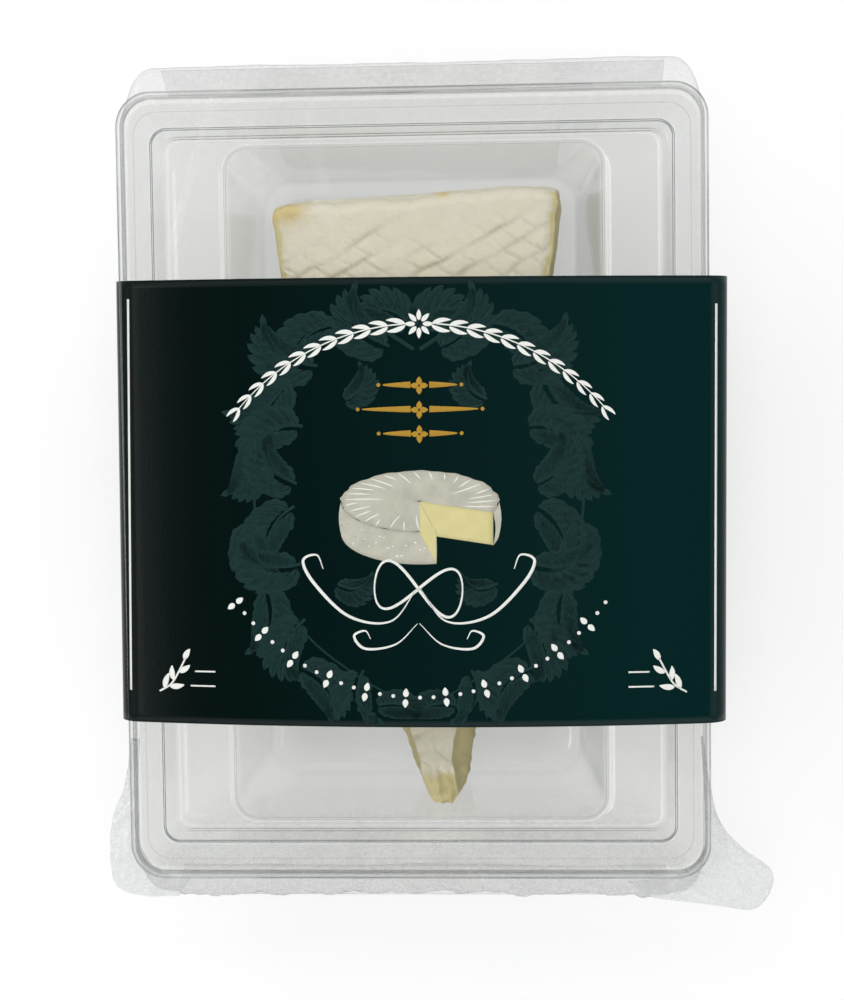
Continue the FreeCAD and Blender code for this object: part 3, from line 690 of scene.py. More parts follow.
def frontLift(x, y):
    # slack waves and creases of the front, none where the sleeve presses it flat
    f = filmSettings
    lift = 0.10 * waves(x, y, 54, (48, 24), (0.7, 0.5))
    for start, end, height, half in f["creases"]:
        start, end = np.array(start), np.array(end)
        run = end - start
        long = np.hypot(*run)
        along = ((x - start[0]) * run[0] + (y - start[1]) * run[1]) / long
        off = ((x - start[0]) * run[1] - (y - start[1]) * run[0]) / long
        fade = smoothStep(along, -2, 6) * (1 - smoothStep(along, long - 8, long + 2))
        wander = 0.8 * np.sin(along / 9.0 + start[0])
        wide = half * (0.7 + 0.6 * np.clip(along / long, 0, 1))
        lift = lift + height * np.exp(-((off + wander) / wide) ** 2) * fade
    return np.clip(lift, -0.15, 0.6) * smoothStep(np.abs(y + 3.0), 49, 60)


def makeFilm():
    f = filmSettings
    halfX, halfY = trayHigh.x / mm + f["lipOut"], trayHigh.y / mm + f["lipOut"]
    front = f["front"]
    # each row: half width, half length, corner, level, share of puff at the ends, share of front
    rows = []
    for share in np.concatenate([[0.05, 0.25, 0.40], np.linspace(0.47, 0.985, 62)]):
        rows.append((halfX * share, halfY * share, f["corner"] * share, front, 0.0, 1.0))
    for angle in np.linspace(0.1, 1.0, 6) * np.pi / 2:
        inward = f["edgeRound"] * (1 - math.sin(angle))
        rows.append((halfX - inward, halfY - inward, f["corner"],
                     front - f["edgeRound"] * (1 - math.cos(angle)),
                     0.12 * math.sin(angle), 0.5 * (1 - math.sin(angle))))
    sideLevels, puffs, widths = np.array(f["sides"]).T
    for level in np.concatenate([np.linspace(38.6, 31.0, 12), np.linspace(29.0, 5.0, 12)]):
        puff, width = np.interp(level, sideLevels, puffs), np.interp(level, sideLevels, widths)
        below = f["widest"] - min(level, f["widest"])
        rows.append((halfX + width, halfY - below * f["endSlope"], f["corner"], level, puff, 0.0))
    for angle in np.linspace(0, np.pi / 2, 6):
        inward = f["floorRound"] * (1 - math.cos(angle))
        rows.append((f["floorHalf"][0] + 1.5 - inward, f["floorHalf"][1] + 1.0 - inward, f["corner"],
                     f["floorLevel"] + f["floorRound"] * (1 - math.sin(angle)), 0.0, 0.0))
    for share in (0.9, 0.7, 0.4, 0.05):
        rows.append((f["floorHalf"][0] * share, f["floorHalf"][1] * share, f["corner"] * share,
                     f["floorLevel"], 0.0, 0.0))
    rings, haze = [], []
    for wide, long, corner, level, puff, flatShare in rows:
        flat = roundedRing(wide, long, min(corner, wide - 0.1), f["ringSides"], f["ringArc"])
        x, y = flat[:, 0], flat[:, 1]
        endShare = smoothStep(np.abs(y), long - corner * 0.9, long)
        low = smoothStep(-y, long - 5, long)
        pleat = np.where(y < 0, waves(x, 0 * y, 51, (26, 11, 4.5), (0.6, 0.4, 0.22)),
                         waves(x, 0 * y, 52, (60, 25, 9), (0.4, 0.25, 0.1)))
        crush = low * waves(x, level * 3 + 0 * y, 57, (7, 3.2, 1.7), (0.30, 0.22, 0.12))
        outward = puff * (f["puffEnd"] * endShare * (1 - 0.13 * (y < 0)) + 1.0 * endShare * pleat + crush)
        sideWave = puff * 0.55 * (1 - endShare) * waves(0 * x, y, 53, (50, 20, 8), (0.8, 0.4, 0.2))
        lift = frontLift(x, y)
        endWave = waves(x, level * 2 + 0 * y, 58, (16, 6), (0.6, 0.4))
        height = level + flatShare * lift + puff * endShare * 0.5 * endWave
        rings.append(np.column_stack([x + np.sign(x) * sideWave, y + np.sign(y) * outward, height]))
        crumpled = 0.85 * low * (0.6 + 0.8 * np.abs(crush) + 0.5 * np.abs(pleat))
        atEnds = puff * (0.10 + crumpled + 0.22 * endShare * (y > 0))
        # painted highlight: the front's raised creases are painted milky white in place of their sheen
        haze.append(atEnds + 0.9 * flatShare * np.clip(lift, 0, 1))
    film = ringMesh("film_wrap", np.array(rings))
    paint(film, "crease", np.append(np.array(haze).ravel(), (0.0, 0.0)))
    film.data.materials.append(clearPlastic("filmPlastic"))
    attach(film, "root")
    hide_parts("film_bag")


makeFilm()
print("film made")


def stripMesh(name, grids):
    # several open grids of points in millimetres, joined in one mesh
    points, faces, start = [], [], 0
    for grid in grids:
        rows, cols, _ = grid.shape
        points.append(grid.reshape(-1, 3))
        faces.append(gridFaces(rows, cols, closed=False, start=start))
        start += rows * cols
    return buildMesh(name, np.vstack(points) * mm, np.vstack(faces).tolist())


def curveThrough(points, count):
    # smooth curve through a few points, by Catmull and Rom's rule
    p = np.asarray(points, dtype=float)
    p = np.vstack([2 * p[0] - p[1], p, 2 * p[-1] - p[-2]])
    t = np.linspace(0, len(p) - 3, count)
    i = np.minimum(t.astype(int), len(p) - 4)
    f = (t - i)[:, None]
    a, b, c, d = p[i], p[i + 1], p[i + 2], p[i + 3]
    square, cube = 2 * a - 5 * b + 4 * c - d, 3 * b - a - 3 * c + d
    return 0.5 * (2 * b + (c - a) * f + square * f ** 2 + cube * f ** 3)


flapSettings = {
    # root along the bag, free rim, level at the root, drop to the rim, number of creases, seed, and
    # whether the sheet runs the other way round
    "film_ear": dict(
        root=((62.4, -56.0), (62.9, -65.0), (63.2, -72.0), (63.3, -77.5), (63.0, -81.0), (61.0, -84.5),
              (57.0, -87.0), (52.0, -88.0), (46.0, -88.4)),
        rim=((62.9, -56.0), (64.6, -68.0), (67.0, -75.9), (72.0, -81.5), (77.4, -85.6), (78.2, -90.4),
             (73.6, -94.6), (64.7, -94.0), (52.0, -92.4)),
        level=35.8, sag=1.2, fan=15, seed=71, turned=False,
    ),
    "film_fold": dict(
        root=((-62.6, -56.0), (-63.2, -66.0), (-63.4, -72.0), (-63.2, -79.0), (-60.5, -84.5), (-57.0, -87.0),
              (-52.0, -88.0)),
        rim=((-64.6, -56.0), (-66.4, -66.7), (-69.2, -73.5), (-69.9, -81.5), (-69.4, -88.3), (-64.9, -91.6),
             (-54.7, -92.0)),
        level=36.0, sag=0.9, fan=11, seed=72, turned=True,
    ),
}


flapGrid = (60, 130)


def makeFlap(name):
    # ruled sheet between its root along the bag and its free rim, with creases that fan out
    f = flapSettings[name]
    rows, cols = flapGrid
    root, rim = curveThrough(f["root"], cols), curveThrough(f["rim"], cols)
    t = np.linspace(0, 1, rows)[:, None]
    u = np.linspace(0, 1, cols)[None, :]
    ragged = 1 + 0.04 * waves(u * 60, 0 * u, f["seed"], (14, 5), (0.8, 0.5))
    reach = t * np.where(t > 0, ragged, 1)
    x = root[None, :, 0] * (1 - reach) + rim[None, :, 0] * reach
    y = root[None, :, 1] * (1 - reach) + rim[None, :, 1] * reach
    wander = 0.6 * waves(u * 30, t * 12, f["seed"] + 9, (20, 8), (0.5, 0.4))
    fans = np.abs(np.sin(np.pi * (f["fan"] * u / 2 + wander)))
    crush = waves(x, y, f["seed"] + 3, (4.0, 1.9, 1.0), (0.16, 0.11, 0.07))
    middle = np.sin(np.pi * np.clip(u, 0.02, 0.98)) ** 0.4
    z = f["level"] - f["sag"] * t + t ** 0.5 * (0.4 * (1 - fans) ** 2 + crush) * middle
    grid = np.stack([x, y, z], -1)
    flap = stripMesh(name, [grid[:, ::-1] if f["turned"] else grid])
    crease = (1.1 + 0.5 * (1 - fans) ** 3 + 1.1 * np.abs(crush)) * (0.6 + 0.4 * t)
    paint(flap, "crease", crease[:, ::-1] if f["turned"] else crease)
    sheet = flap.modifiers.new("sheet", "SOLIDIFY")
    sheet.thickness = 0.12 * mm
    flap.data.materials.append(bpy.data.materials["filmPlastic"])
    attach(flap, "root")


sealSettings = dict(
    width=10.0, lean=25.0, ribPitch=1.3, ribHeight=0.05, inset=5.0, edge=92.2, level=32.5, half=60.3,
    thick=0.15, rows=26, columns=420,
)


def makeSeal(name, end):
    # a strip that hangs from the bag's end, with crimped ribs across it
    s = sealSettings
    u = np.linspace(-1, 1, s["columns"])[None, :]
    t = np.linspace(0, 1, s["rows"])[:, None]
    x = u * (s["half"] - s["inset"]) * np.ones_like(t)
    lean = math.radians(s["lean"])
    ribs = s["ribHeight"] * np.sin(2 * np.pi * t * s["width"] / s["ribPitch"])
    wave = 0.6 * waves(x, 0 * x, 61 if end > 0 else 62, (40, 16), (0.8, 0.4)) * t
    y = s["edge"] - t * s["width"] * math.sin(lean) + (ribs + wave) * math.cos(lean)
    z = s["level"] - t * s["width"] * math.cos(lean) + 0 * u
    grid = np.stack([x, end * y * np.ones_like(x), z * np.ones_like(x)], -1)
    seal = stripMesh(name, [grid if end > 0 else grid[:, ::-1]])
    paint(seal, "crease", 0.12 + 0.1 * waves(x, 6 * t * np.ones_like(x), 63, (22, 9), (0.6, 0.4)))
    sheet = seal.modifiers.new("sheet", "SOLIDIFY")
    sheet.thickness = s["thick"] * mm
    seal.data.materials.append(bpy.data.materials["filmPlastic"])
    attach(seal, "root")


for flapName in flapSettings:
    makeFlap(flapName)
makeSeal("film_seal_wide_end", 1)
makeSeal("film_seal_tip_end", -1)
print("film flaps and seals made")


sleeveSettings = dict(
    shift=1.15, skew=-0.35, card=0.5, shoulder=6.0, backCorner=4.0, shoulderX=61.0, shoulderZ=35.55,
    backX=37.1, rows=50,
)
cardLook = dict(
    # painted light: the card runs from the darker left colour to the lighter right one across this half
    # width, in metres, as if its right side were lit more
    left=(0.0003, 0.0040, 0.0033), right=(0.0014, 0.0175, 0.0175), halfRun=0.05,
    fleck=(0.002, 0.010, 0.0095), fleckShare=0.15, fibreScale=1500, fibreStrength=0.15, fibreDepth=0.0001,
    roughness=0.2, shine=0.08,
    pulp=((0.80, 0.79, 0.75), (0.70, 0.69, 0.64)), pulpScale=900, pulpRoughness=0.85,
)


def sleeveParts():
    # the arch runs through the crown and rests on both shoulder arcs
    s = sleeveSettings
    crown = sleeveHigh.z / mm
    rise = crown - s["shoulderZ"]
    arch = (s["shoulderX"] ** 2 + rise ** 2 - s["shoulder"] ** 2) / (2 * (rise - s["shoulder"]))
    return crown, arch


def askew(points):
    # the band sits a little to the right on the pack and slightly turned
    s = sleeveSettings
    turn = math.radians(s["skew"])
    x, y = points[..., 0], points[..., 1]
    moved = np.array(points, dtype=float)
    moved[..., 0] = x * math.cos(turn) - y * math.sin(turn) + s["shift"]
    moved[..., 1] = x * math.sin(turn) + y * math.cos(turn)
    return moved


def sleeveSection():
    # half outline from the crown over the shoulder, down the side and round the back corner
    s = sleeveSettings
    crown, arch = sleeveParts()
    shoulder = np.array([s["shoulderX"], s["shoulderZ"]])
    back = np.array([s["backX"], s["backCorner"]])
    run = shoulder - back
    lean = math.atan2(run[1], run[0]) - math.asin((s["shoulder"] - s["backCorner"]) / np.hypot(*run))
    sideOut = math.atan2(-math.cos(lean), math.sin(lean))
    centre = np.array([0, crown - arch])
    toShoulder = math.atan2(shoulder[1] - centre[1], shoulder[0])
    a = np.linspace(np.pi / 2, toShoulder, 46)
    over = centre + arch * np.column_stack([np.cos(a), np.sin(a)])
    a = np.linspace(toShoulder, sideOut, 16)[1:]
    round1 = shoulder + s["shoulder"] * np.column_stack([np.cos(a), np.sin(a)])
    a = np.linspace(sideOut, -np.pi / 2, 12)
    round2 = back + s["backCorner"] * np.column_stack([np.cos(a), np.sin(a)])
    flat = np.column_stack([np.linspace(s["backX"], 0, 12)[1:], np.zeros(11)])
    half = np.vstack([over, round1, round2, flat])
    other = (half * np.array([-1, 1]))[::-1][1:-1]
    return np.vstack([half, other])


def inkedCard():
    look = cardLook
    material, nodes, links = newMaterial("greenInkedCard")
    place = node(nodes, "ShaderNodeTexCoord").outputs["Object"]
    split = node(nodes, "ShaderNodeSeparateXYZ")
    links.new(place, split.inputs[0])
    paintedLightRamp = node(nodes, "ShaderNodeMapRange")
    paintedLightRamp.inputs["From Min"].default_value = -look["halfRun"]
    paintedLightRamp.inputs["From Max"].default_value = look["halfRun"]
    links.new(split.outputs[0], paintedLightRamp.inputs["Value"])
    # painted light: the card is painted lighter towards its right side
    base = mixColour(nodes, links, paintedLightRamp.outputs[0], look["left"], look["right"])
    fibre = noiseNode(nodes, links, place, look["fibreScale"], 3)
    fleckShare = mathNode(nodes, links, "MULTIPLY", fibre, look["fleckShare"])
    board = node(nodes, "ShaderNodeBsdfPrincipled")
    links.new(mixColour(nodes, links, fleckShare, base, look["fleck"]), board.inputs["Base Color"])
    board.inputs["Roughness"].default_value = look["roughness"]
    board.inputs["Specular IOR Level"].default_value = look["shine"]
    grain = bumpNode(nodes, links, fibre, look["fibreStrength"], look["fibreDepth"])
    links.new(grain, board.inputs["Normal"])
    surface(nodes, links, board)
    return material


def whiteBoard():
    # the bare core that shows at the card's cut edges
    look = cardLook
    material, nodes, links = newMaterial("whiteBoard")
    place = node(nodes, "ShaderNodeTexCoord").outputs["Object"]
    pulp = mixColour(nodes, links, noiseNode(nodes, links, place, look["pulpScale"], 4), *look["pulp"])
    plain = node(nodes, "ShaderNodeBsdfPrincipled")
    links.new(pulp, plain.inputs["Base Color"])
    plain.inputs["Roughness"].default_value = look["pulpRoughness"]
    surface(nodes, links, plain)
    return material


def makeSleeve():
    s = sleeveSettings
    outline = sleeveSection()
    y = np.linspace(sleeveLow.y / mm, sleeveHigh.y / mm, s["rows"])
    rings = np.zeros((len(y), len(outline), 3))
    rings[:, :, 0] = outline[None, :, 0]
    rings[:, :, 2] = outline[None, :, 1]
    rings[:, :, 1] = y[:, None]
    sleeve = ringMesh("card_band", askew(rings), capFirst=False, capLast=False)
    card = sleeve.modifiers.new("card", "SOLIDIFY")
    card.thickness = s["card"] * mm
    card.offset = -1
    card.material_offset_rim = 1
    card.material_offset = 1
    sleeve.data.materials.append(inkedCard())
    sleeve.data.materials.append(whiteBoard())
    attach(sleeve, "root")
    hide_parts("sleeve")


makeSleeve()
print("sleeve made")


def onCard(flat, lift):
    # a point of the print laid on the card: on the arch, or past it on the shoulder's arc
    s = sleeveSettings
    crown, arch = sleeveParts()
    x, y = flat[..., 0], flat[..., 1]
    turnPoint = s["shoulderX"] * arch / (arch - s["shoulder"])
    over = np.clip(x, -turnPoint, turnPoint)
    archX = over * (arch + lift) / arch
    archZ = crown - arch + np.sqrt(arch ** 2 - over ** 2) * (arch + lift) / arch
    beyond = np.clip((np.abs(x) - s["shoulderX"]) / s["shoulder"], 0, 0.98)
    roundX = np.sign(x) * (s["shoulderX"] + (s["shoulder"] + lift) * beyond)
    roundZ = s["shoulderZ"] + (s["shoulder"] + lift) * np.sqrt(1 - beyond ** 2)
    onRound = np.abs(x) > turnPoint
    return np.stack([np.where(onRound, roundX, archX), y, np.where(onRound, roundZ, archZ)], -1)


def ribbon(path, half, columns=3, lift=0.05):
    # strip of changing half width along a path
    path = np.asarray(path, dtype=float)
    along = np.gradient(path, axis=0)
    along /= np.linalg.norm(along, axis=1)[:, None] + 1e-9
    side = np.stack([-along[:, 1], along[:, 0]], 1)
    across = np.linspace(1, -1, columns)[None, :, None]
    half = np.broadcast_to(half, (len(path),))
    flat = path[:, None, :] + side[:, None, :] * half[:, None, None] * across
    return onCard(flat, lift)


def line(start, end, half, count=24, lift=0.05):
    t = np.linspace(0, 1, count)[:, None]
    return ribbon(np.array(start) * (1 - t) + np.array(end) * t, half, lift=lift)


def leafShape(base, angle, length, width, curl=0.0, lobes=0, lift=0.05, count=22, gap=0.0):
    # a leaf along a curling spine: half width is a sine arch, notched when it has lobes
    t = np.linspace(0, 1, count)
    heading = angle + curl * t
    step = length / (count - 1)
    spine = np.array(base) + np.cumsum(np.stack([np.cos(heading), np.sin(heading)], 1) * step, axis=0) - step
    half = width / 2 * np.sin(np.pi * t ** 0.8) ** 0.8 + 0.02
    if lobes:
        half = half * (0.72 + 0.42 * np.abs(np.sin(np.pi * lobes * t)))
    if not gap:
        return [ribbon(spine, half, 5, lift)]
    side = np.stack([-np.sin(heading), np.cos(heading)], 1)
    inner = gap * (1 - t) + 0.01
    made = []
    for sign in (1, -1):
        outerEdge = spine + sign * side * np.maximum(half, inner + 0.01)[:, None]
        innerEdge = spine + sign * side * inner[:, None]
        k = np.linspace(0, 1, 3)[None, :, None]
        flat = (outerEdge[:, None] * (1 - k) + innerEdge[:, None] * k)
        made.append(onCard(flat if sign > 0 else flat[:, ::-1], lift))
    return made


def disc(middle, radius, lift=0.05, squash=1.0, count=20):
    a = np.linspace(0, 2 * np.pi, count + 1)
    r = np.linspace(0.02, 1, 3)[:, None]
    flat = np.stack([middle[0] + radius * r * np.cos(a), middle[1] + radius * squash * r * np.sin(a)], -1)
    return onCard(flat[::-1], lift)


def flipAngle(angle, side):
    return angle if side > 0 else math.pi - angle


inkSettings = {
    # two tones mixed by fine noise, roughness, scale of the noise, shine
    "paleGreenInk": ((0.0070, 0.0270, 0.0252), (0.0115, 0.0385, 0.0362), 0.35, 600, 0.06),
    "goldInk": ((0.40, 0.225, 0.022), (0.47, 0.27, 0.035), 0.38, 600, 0.15),
    "rindInk": ((0.62, 0.60, 0.50), (0.36, 0.36, 0.30), 0.5, 330, 0.15),
    "pasteInk": ((0.72, 0.66, 0.34), (0.60, 0.54, 0.24), 0.5, 330, 0.15),
    "markInk": ((0.80, 0.79, 0.72), (0.86, 0.85, 0.80), 0.5, 600, 0.15),
    "creamInk": ((0.80, 0.81, 0.76), (0.86, 0.87, 0.83), 0.5, 600, 0.15),
}
inkFilm = dict(thick=0.02, margin=0.2)


def inkMaterial(name):
    first, second, roughness, scale, shine = inkSettings[name]
    material, nodes, links = newMaterial(name)
    place = node(nodes, "ShaderNodeTexCoord").outputs["Object"]
    colour = mixColour(nodes, links, noiseNode(nodes, links, place, scale, 4), first, second)
    ink = node(nodes, "ShaderNodeBsdfPrincipled")
    links.new(colour, ink.inputs["Base Color"])
    ink.inputs["Roughness"].default_value = roughness
    ink.inputs["Specular IOR Level"].default_value = shine
    surface(nodes, links, ink)
    return material


def inkPiece(name, grids, ink):
    # strips that would run over the card's cut edges are left out
    low, high = sleeveLow.y / mm + inkFilm["margin"], sleeveHigh.y / mm - inkFilm["margin"]
    inside = [grid for grid in grids if grid[..., 1].min() > low and grid[..., 1].max() < high]
    piece = stripMesh(name, [askew(grid) for grid in inside])
    film = piece.modifiers.new("ink", "SOLIDIFY")
    film.thickness = inkFilm["thick"] * mm
    film.offset = -1
    piece.data.materials.append(inkMaterial(ink))
    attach(piece, "root")


printSettings = dict(
    ruleLeft=((-63.4, 41.4), (-64.2, -44.6)), ruleRight=((64.2, 39.4), (64.2, -44.6)), ruleHalf=0.26,
    garland=dict(middle=(0.6, -16.5), radius=52.0, spread=50.0, leaves=12, length=4.4, width=1.0),
    swag=dict(middle=(0.2, 4.4), radius=49.5, spread=54.0, count=33),
)


def whiteLines():
    p = printSettings
    made = [line(*p["ruleLeft"], p["ruleHalf"], 60), line(*p["ruleRight"], p["ruleHalf"], 60)]
    g = p["garland"]
    arc = math.radians(g["spread"])
    for side in (1, -1):
        a = np.linspace(0.07, arc, 60)
        if side < 0:
            a = a[::-1]
        path = np.stack([g["middle"][0] + side * g["radius"] * np.sin(a),
                         g["middle"][1] + g["radius"] * np.cos(a)], 1)
        made.append(ribbon(path, 0.16 - 0.06 * a / arc, lift=0.07))
        for k in range(g["leaves"]):
            share = (k + 0.7) / g["leaves"]
            at = arc * share
            base = (g["middle"][0] + side * g["radius"] * math.sin(at),
                    g["middle"][1] + g["radius"] * math.cos(at))
            heading = -at if side > 0 else math.pi + at
            size = 1.0 - 0.25 * share
            for lean in (0.62, -0.62):
                made += leafShape(base, heading + lean, g["length"] * size, g["width"] * size,
                                  -0.7 * np.sign(lean), lift=0.08)
    for petal in range(8):
        angle = petal * math.pi / 4
        base = (g["middle"][0] + 0.7 * math.cos(angle), g["middle"][1] + g["radius"] + 0.7 * math.sin(angle))
        made += leafShape(base, angle, 2.3, 1.0, lift=0.08)
    s = p["swag"]
    for k in range(s["count"]):
        at = math.radians(s["spread"]) * (2 * k / (s["count"] - 1) - 1)
        spot = (s["middle"][0] + s["radius"] * math.sin(at), s["middle"][1] - s["radius"] * math.cos(at))
        if k % 3 == 0:
            for lean in (0.0, math.pi):
                made += leafShape(spot, math.pi / 2 + at + lean, 1.9, 1.25, lift=0.07, count=10)
        else:
            made.append(disc(spot, 0.42, 0.07))
    # looped flourish: a bow of two loops with long tapering tails
    t = np.linspace(0, 2 * np.pi, 240)
    bow = np.stack([9.5 * np.sin(t), 5.2 * np.sin(2 * t) * (1 - 0.25 * np.cos(t)) - 21.5], 1)
    made.append(ribbon(bow, 0.16 + 0.17 * np.abs(np.cos(t)), lift=0.09))
    for side in (1, -1):
        sweep = curveThrough(((side * 0.4, -21.5), (side * 6, -28.5), (side * 15, -27.5),
                              (side * 22.5, -20.5), (side * 25.0, -15.5), (side * 22.0, -14.2),
                              (side * 20.6, -17.2)), 110)
        width = 0.10 + 0.26 * np.sin(np.linspace(0, np.pi, 110)) ** 1.5
        made.append(ribbon(sweep, width, lift=0.09))
        tail = curveThrough(((side * 0.2, -29.0), (side * 5.0, -33.5), (side * 11.5, -34.5),
                             (side * 14.0, -31.8), (side * 11.6, -30.6), (side * 10.4, -32.4)), 90)
        made.append(ribbon(tail, 0.08 + 0.22 * np.sin(np.linspace(0, np.pi, 90)) ** 1.5, lift=0.09))
    # small marks low in the corners: a sprig on the left, a spray on the right
    for cx, side in ((-53.0, 1), (53.4, -1)):
        stem = curveThrough(
            ((cx - side * 4.5, -44.6), (cx - side * 1.5, -42.5), (cx + side * 1.6, -37.0)), 24)
        made.append(ribbon(stem, 0.2, lift=0.08))
        for k, (along, lean) in enumerate(((5, 1.0), (9, -0.9), (13, 0.9), (17, -0.8), (22, 0.25))):
            base = stem[along]
            up = math.atan2(*(stem[along + 1] - stem[along])[::-1])
            made += leafShape(base, up + lean * side, 3.6 - 0.2 * k, 1.25, -0.5 * np.sign(lean) * side,
                              lift=0.08)
        made.append(line((cx + side * 3.6, -40.0), (cx + side * 8.2, -40.0), 0.18, 8))
        made.append(line((cx + side * 2.6, -43.2), (cx + side * 8.2, -43.2), 0.18, 8))
    return made


def goldLines():
    # a gold band of ornament: three rows of lozenges between tapering bars
    made = []
    for y, reach, cx in ((22.4, 8.0, 0.6), (17.2, 12.5, 0.6), (12.0, 8.0, 0.6)):
        for side in (1, -1):
            t = np.linspace(0, 1, 30)
            path = np.stack([cx + side * (2.0 + (reach - 2.0) * t), y + 0 * t], 1)
            made.append(ribbon(path, 0.62 * (1 - t) ** 0.6 + 0.08, lift=0.07))
            made.append(disc((cx + side * (reach + 0.9), y), 0.42, 0.07))
        for lean in range(4):
            made += leafShape((cx, y), lean * math.pi / 2, 1.75, 1.2, lift=0.08, count=12)
    return made


def acanthus(base, angle, length, width, curl, lift):
    # broad leaf: notched leaflets fan from both sides of a curling midrib, longest near its middle
    count = 36
    t = np.linspace(0, 1, count)
    heading = angle + curl * t ** 1.4
    step = length / (count - 1)
    rib = np.array(base) + np.cumsum(np.stack([np.cos(heading), np.sin(heading)], 1) * step, axis=0) - step
    made = [ribbon(rib, 0.30 * (1 - t) + 0.05, lift=lift + 0.006)]
    leaflets = 8
    for k in range(leaflets):
        share = (k + 0.3) / leaflets
        at = int(share * (count - 5))
        size = width * (0.45 + 0.75 * math.sin(math.pi * (0.12 + 0.8 * share))) * (1.05 - 0.35 * share)
        lean = 1.05 - 0.55 * share
        for sign in (1, -1):
            made += leafShape(rib[at], heading[at] + sign * lean, size, size * 0.42, -sign * 0.75,
                              lobes=3, lift=lift, count=12, gap=0.05)
    made += leafShape(rib[-4], heading[-4], width * 0.55, width * 0.22, curl * 0.2, lobes=2, lift=lift,
                      count=14)
    return made


wreathSettings = dict(
    # on the right half: root, heading in degrees, length, breadth, curl; the left half mirrors it
    leaves=(
        ((0.8, 34.5), 62, 11.5, 6.6, -1.9), ((5.0, 31.0), 20, 15.0, 7.4, 1.5),
        ((16.5, 36.0), -8, 14.5, 7.0, -1.5), ((20.5, 27.0), 5, 15.0, 7.6, 1.3),
        ((27.5, 25.0), -68, 15.0, 7.2, 1.4), ((24.0, 14.0), 8, 14.0, 7.4, -1.7),
        ((35.0, 13.0), -100, 14.0, 7.0, 1.3), ((25.5, 1.5), 20, 12.5, 7.0, 1.6),
        ((26.0, -3.0), -30, 14.0, 7.4, -1.5), ((35.5, -6.0), -82, 14.5, 7.2, -1.4),
        ((24.5, -15.5), -18, 14.0, 7.4, 1.4), ((32.5, -20.5), -110, 14.0, 7.2, 1.3),
        ((24.0, -27.5), -40, 13.0, 7.2, -1.6), ((25.5, -38.0), -160, 13.5, 7.0, 1.5),
        ((11.5, -38.5), -62, 11.5, 7.0, -1.6), ((9.0, -46.5), 168, 9.0, 5.0, 0.9),
        ((15.5, 19.5), 160, 8.5, 4.8, -1.6), ((17.5, -20.0), -150, 8.0, 4.6, -1.6),
    ),
    stem=((0.6, 30.0), (9, 34.5), (19, 33), (27, 26), (33, 16), (35.5, 4), (35, -8), (31.5, -21), (24, -32),
          (14, -40), (3, -46.5)),
    # each leaf lies a hair above the last, so that no two share a level where they cross
    stemHalf=0.42, stemPoints=110, stemLift=0.02, firstLift=0.022, nextLift=0.0015,
)


def wreathLines():
    w = wreathSettings
    made = []
    for side in (1, -1):
        flip = np.array([side, 1])
        path = curveThrough(np.array(w["stem"]) * flip, w["stemPoints"])
        half = w["stemHalf"] * (1 - 0.6 * np.linspace(0, 1, w["stemPoints"]))
        made.append(ribbon(path, half, lift=w["stemLift"]))
        for number, (root, heading, length, breadth, curl) in enumerate(w["leaves"]):
            angle = flipAngle(math.radians(heading), side)
            lift = w["firstLift"] + w["nextLift"] * number
            made += acanthus(np.array(root) * flip, angle, length, breadth, curl * side, lift)
    return made


wheelSettings = dict(
    middle=(0.4, -2.6), across=17.0, deep=6.6, wall=7.0, cut=(-78.0, -22.0), strokes=26, specks=30,
)


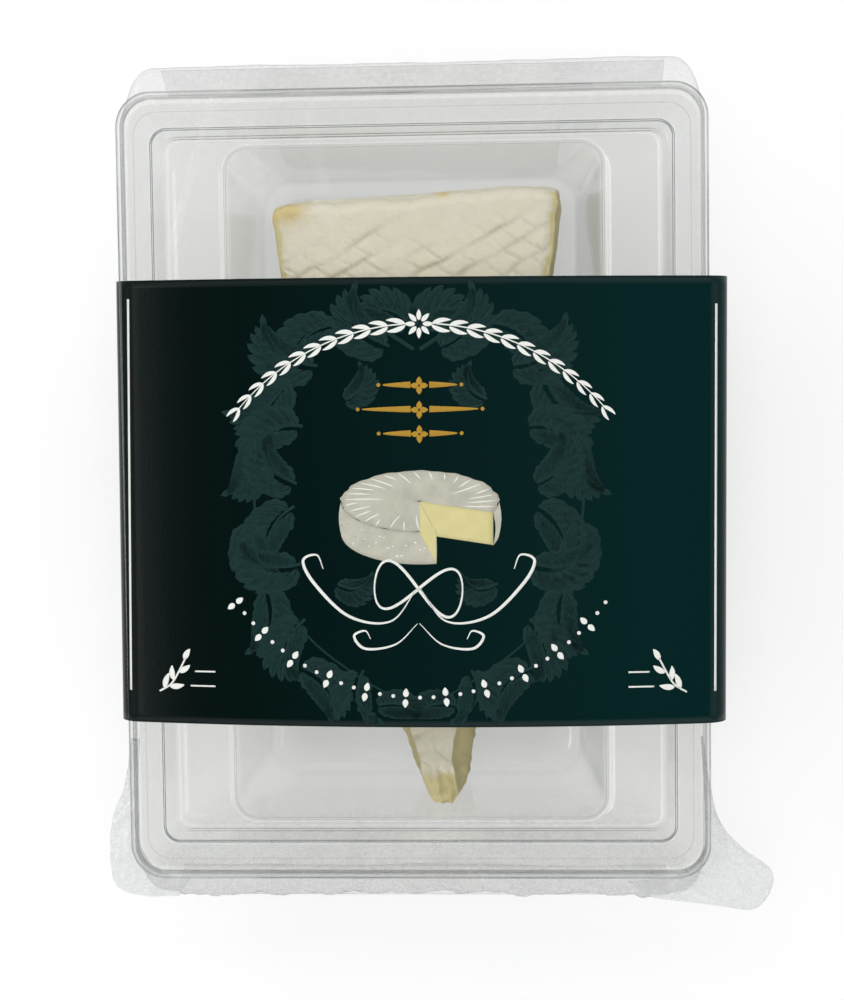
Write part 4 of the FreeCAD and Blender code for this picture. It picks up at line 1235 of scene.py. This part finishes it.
def wheelPieces():
    # a round cheese seen from the front, with a slice out: top, rind wall and two cut faces
    w = wheelSettings
    cx, cy = w["middle"]
    first, last = math.radians(w["cut"][0]), math.radians(w["cut"][1])

    def rim(angle):
        return np.stack([cx + w["across"] * np.cos(angle), cy + w["deep"] * np.sin(angle)], -1)

    angles = np.linspace(last, first + 2 * np.pi, 90)
    shares = np.linspace(0.02, 1, 10)[:, None, None]
    top = np.array([cx, cy]) + (rim(angles)[None] - np.array([cx, cy])) * shares
    uneven = 1 + 0.012 * np.sin(angles * 13) + 0.008 * np.sin(angles * 29 + 1)
    top = np.array([cx, cy]) + (top - np.array([cx, cy])) * uneven[None, :, None]
    rind = [onCard(top[::-1], 0.06)]
    drops = np.linspace(0, 1, 8)[:, None, None]
    for start, end in ((math.pi, first + 2 * math.pi), (last, 0.0)):
        edge = rim(np.linspace(start, end, 50))
        swell = 1 + 0.03 * np.sin(np.pi * drops[..., 0])
        wall = edge[None] - np.array([0, w["wall"]]) * drops
        wall[..., 0] = cx + (wall[..., 0] - cx) * swell
        rind.append(onCard(wall, 0.055))
    paste = []
    for angle, sign in ((first, 1), (last, -1)):
        toRim = rim(np.array([angle]))[0] - np.array([cx, cy])
        spoke = np.array([cx, cy]) + toRim * np.linspace(0, 1, 14)[:, None]
        face = spoke[None] - np.array([0, w["wall"]]) * drops
        paste.append(onCard(face if sign > 0 else face[:, ::-1], 0.065))
    marks = []
    for k in range(w["strokes"]):
        angle = last + (first + 2 * np.pi - last) * (k + 0.5) / w["strokes"]
        a = np.linspace(angle, angle + 0.10, 10)
        r = np.linspace(0.45 + 0.35 * hashed(k * 1.3), 0.97, 10)
        path = np.stack([cx + w["across"] * r * np.cos(a), cy + w["deep"] * r * np.sin(a)], 1)
        marks.append(ribbon(path, 0.16 * np.sin(np.linspace(0.2, np.pi - 0.1, 10)), lift=0.075))
    for k in range(w["specks"]):
        angle = math.pi + (first + math.pi) * (k + 0.5) / w["specks"]
        spot = rim(np.array([angle]))[0] - np.array([0, w["wall"] * (0.15 + 0.7 * hashed(k * 2.9))])
        marks.append(disc(spot, 0.16 + 0.22 * hashed(k * 5.1), 0.075, 0.6, 8))
    return rind, paste, marks


def makePrint():
    inkPiece("print_wreath", wreathLines(), "paleGreenInk")
    inkPiece("print_gold", goldLines(), "goldInk")
    rind, paste, marks = wheelPieces()
    inkPiece("print_wheel_rind", rind, "rindInk")
    inkPiece("print_wheel_paste", paste, "pasteInk")
    inkPiece("print_wheel_marks", marks, "markInk")
    inkPiece("print_white", whiteLines(), "creamInk")


makePrint()
print("print made")
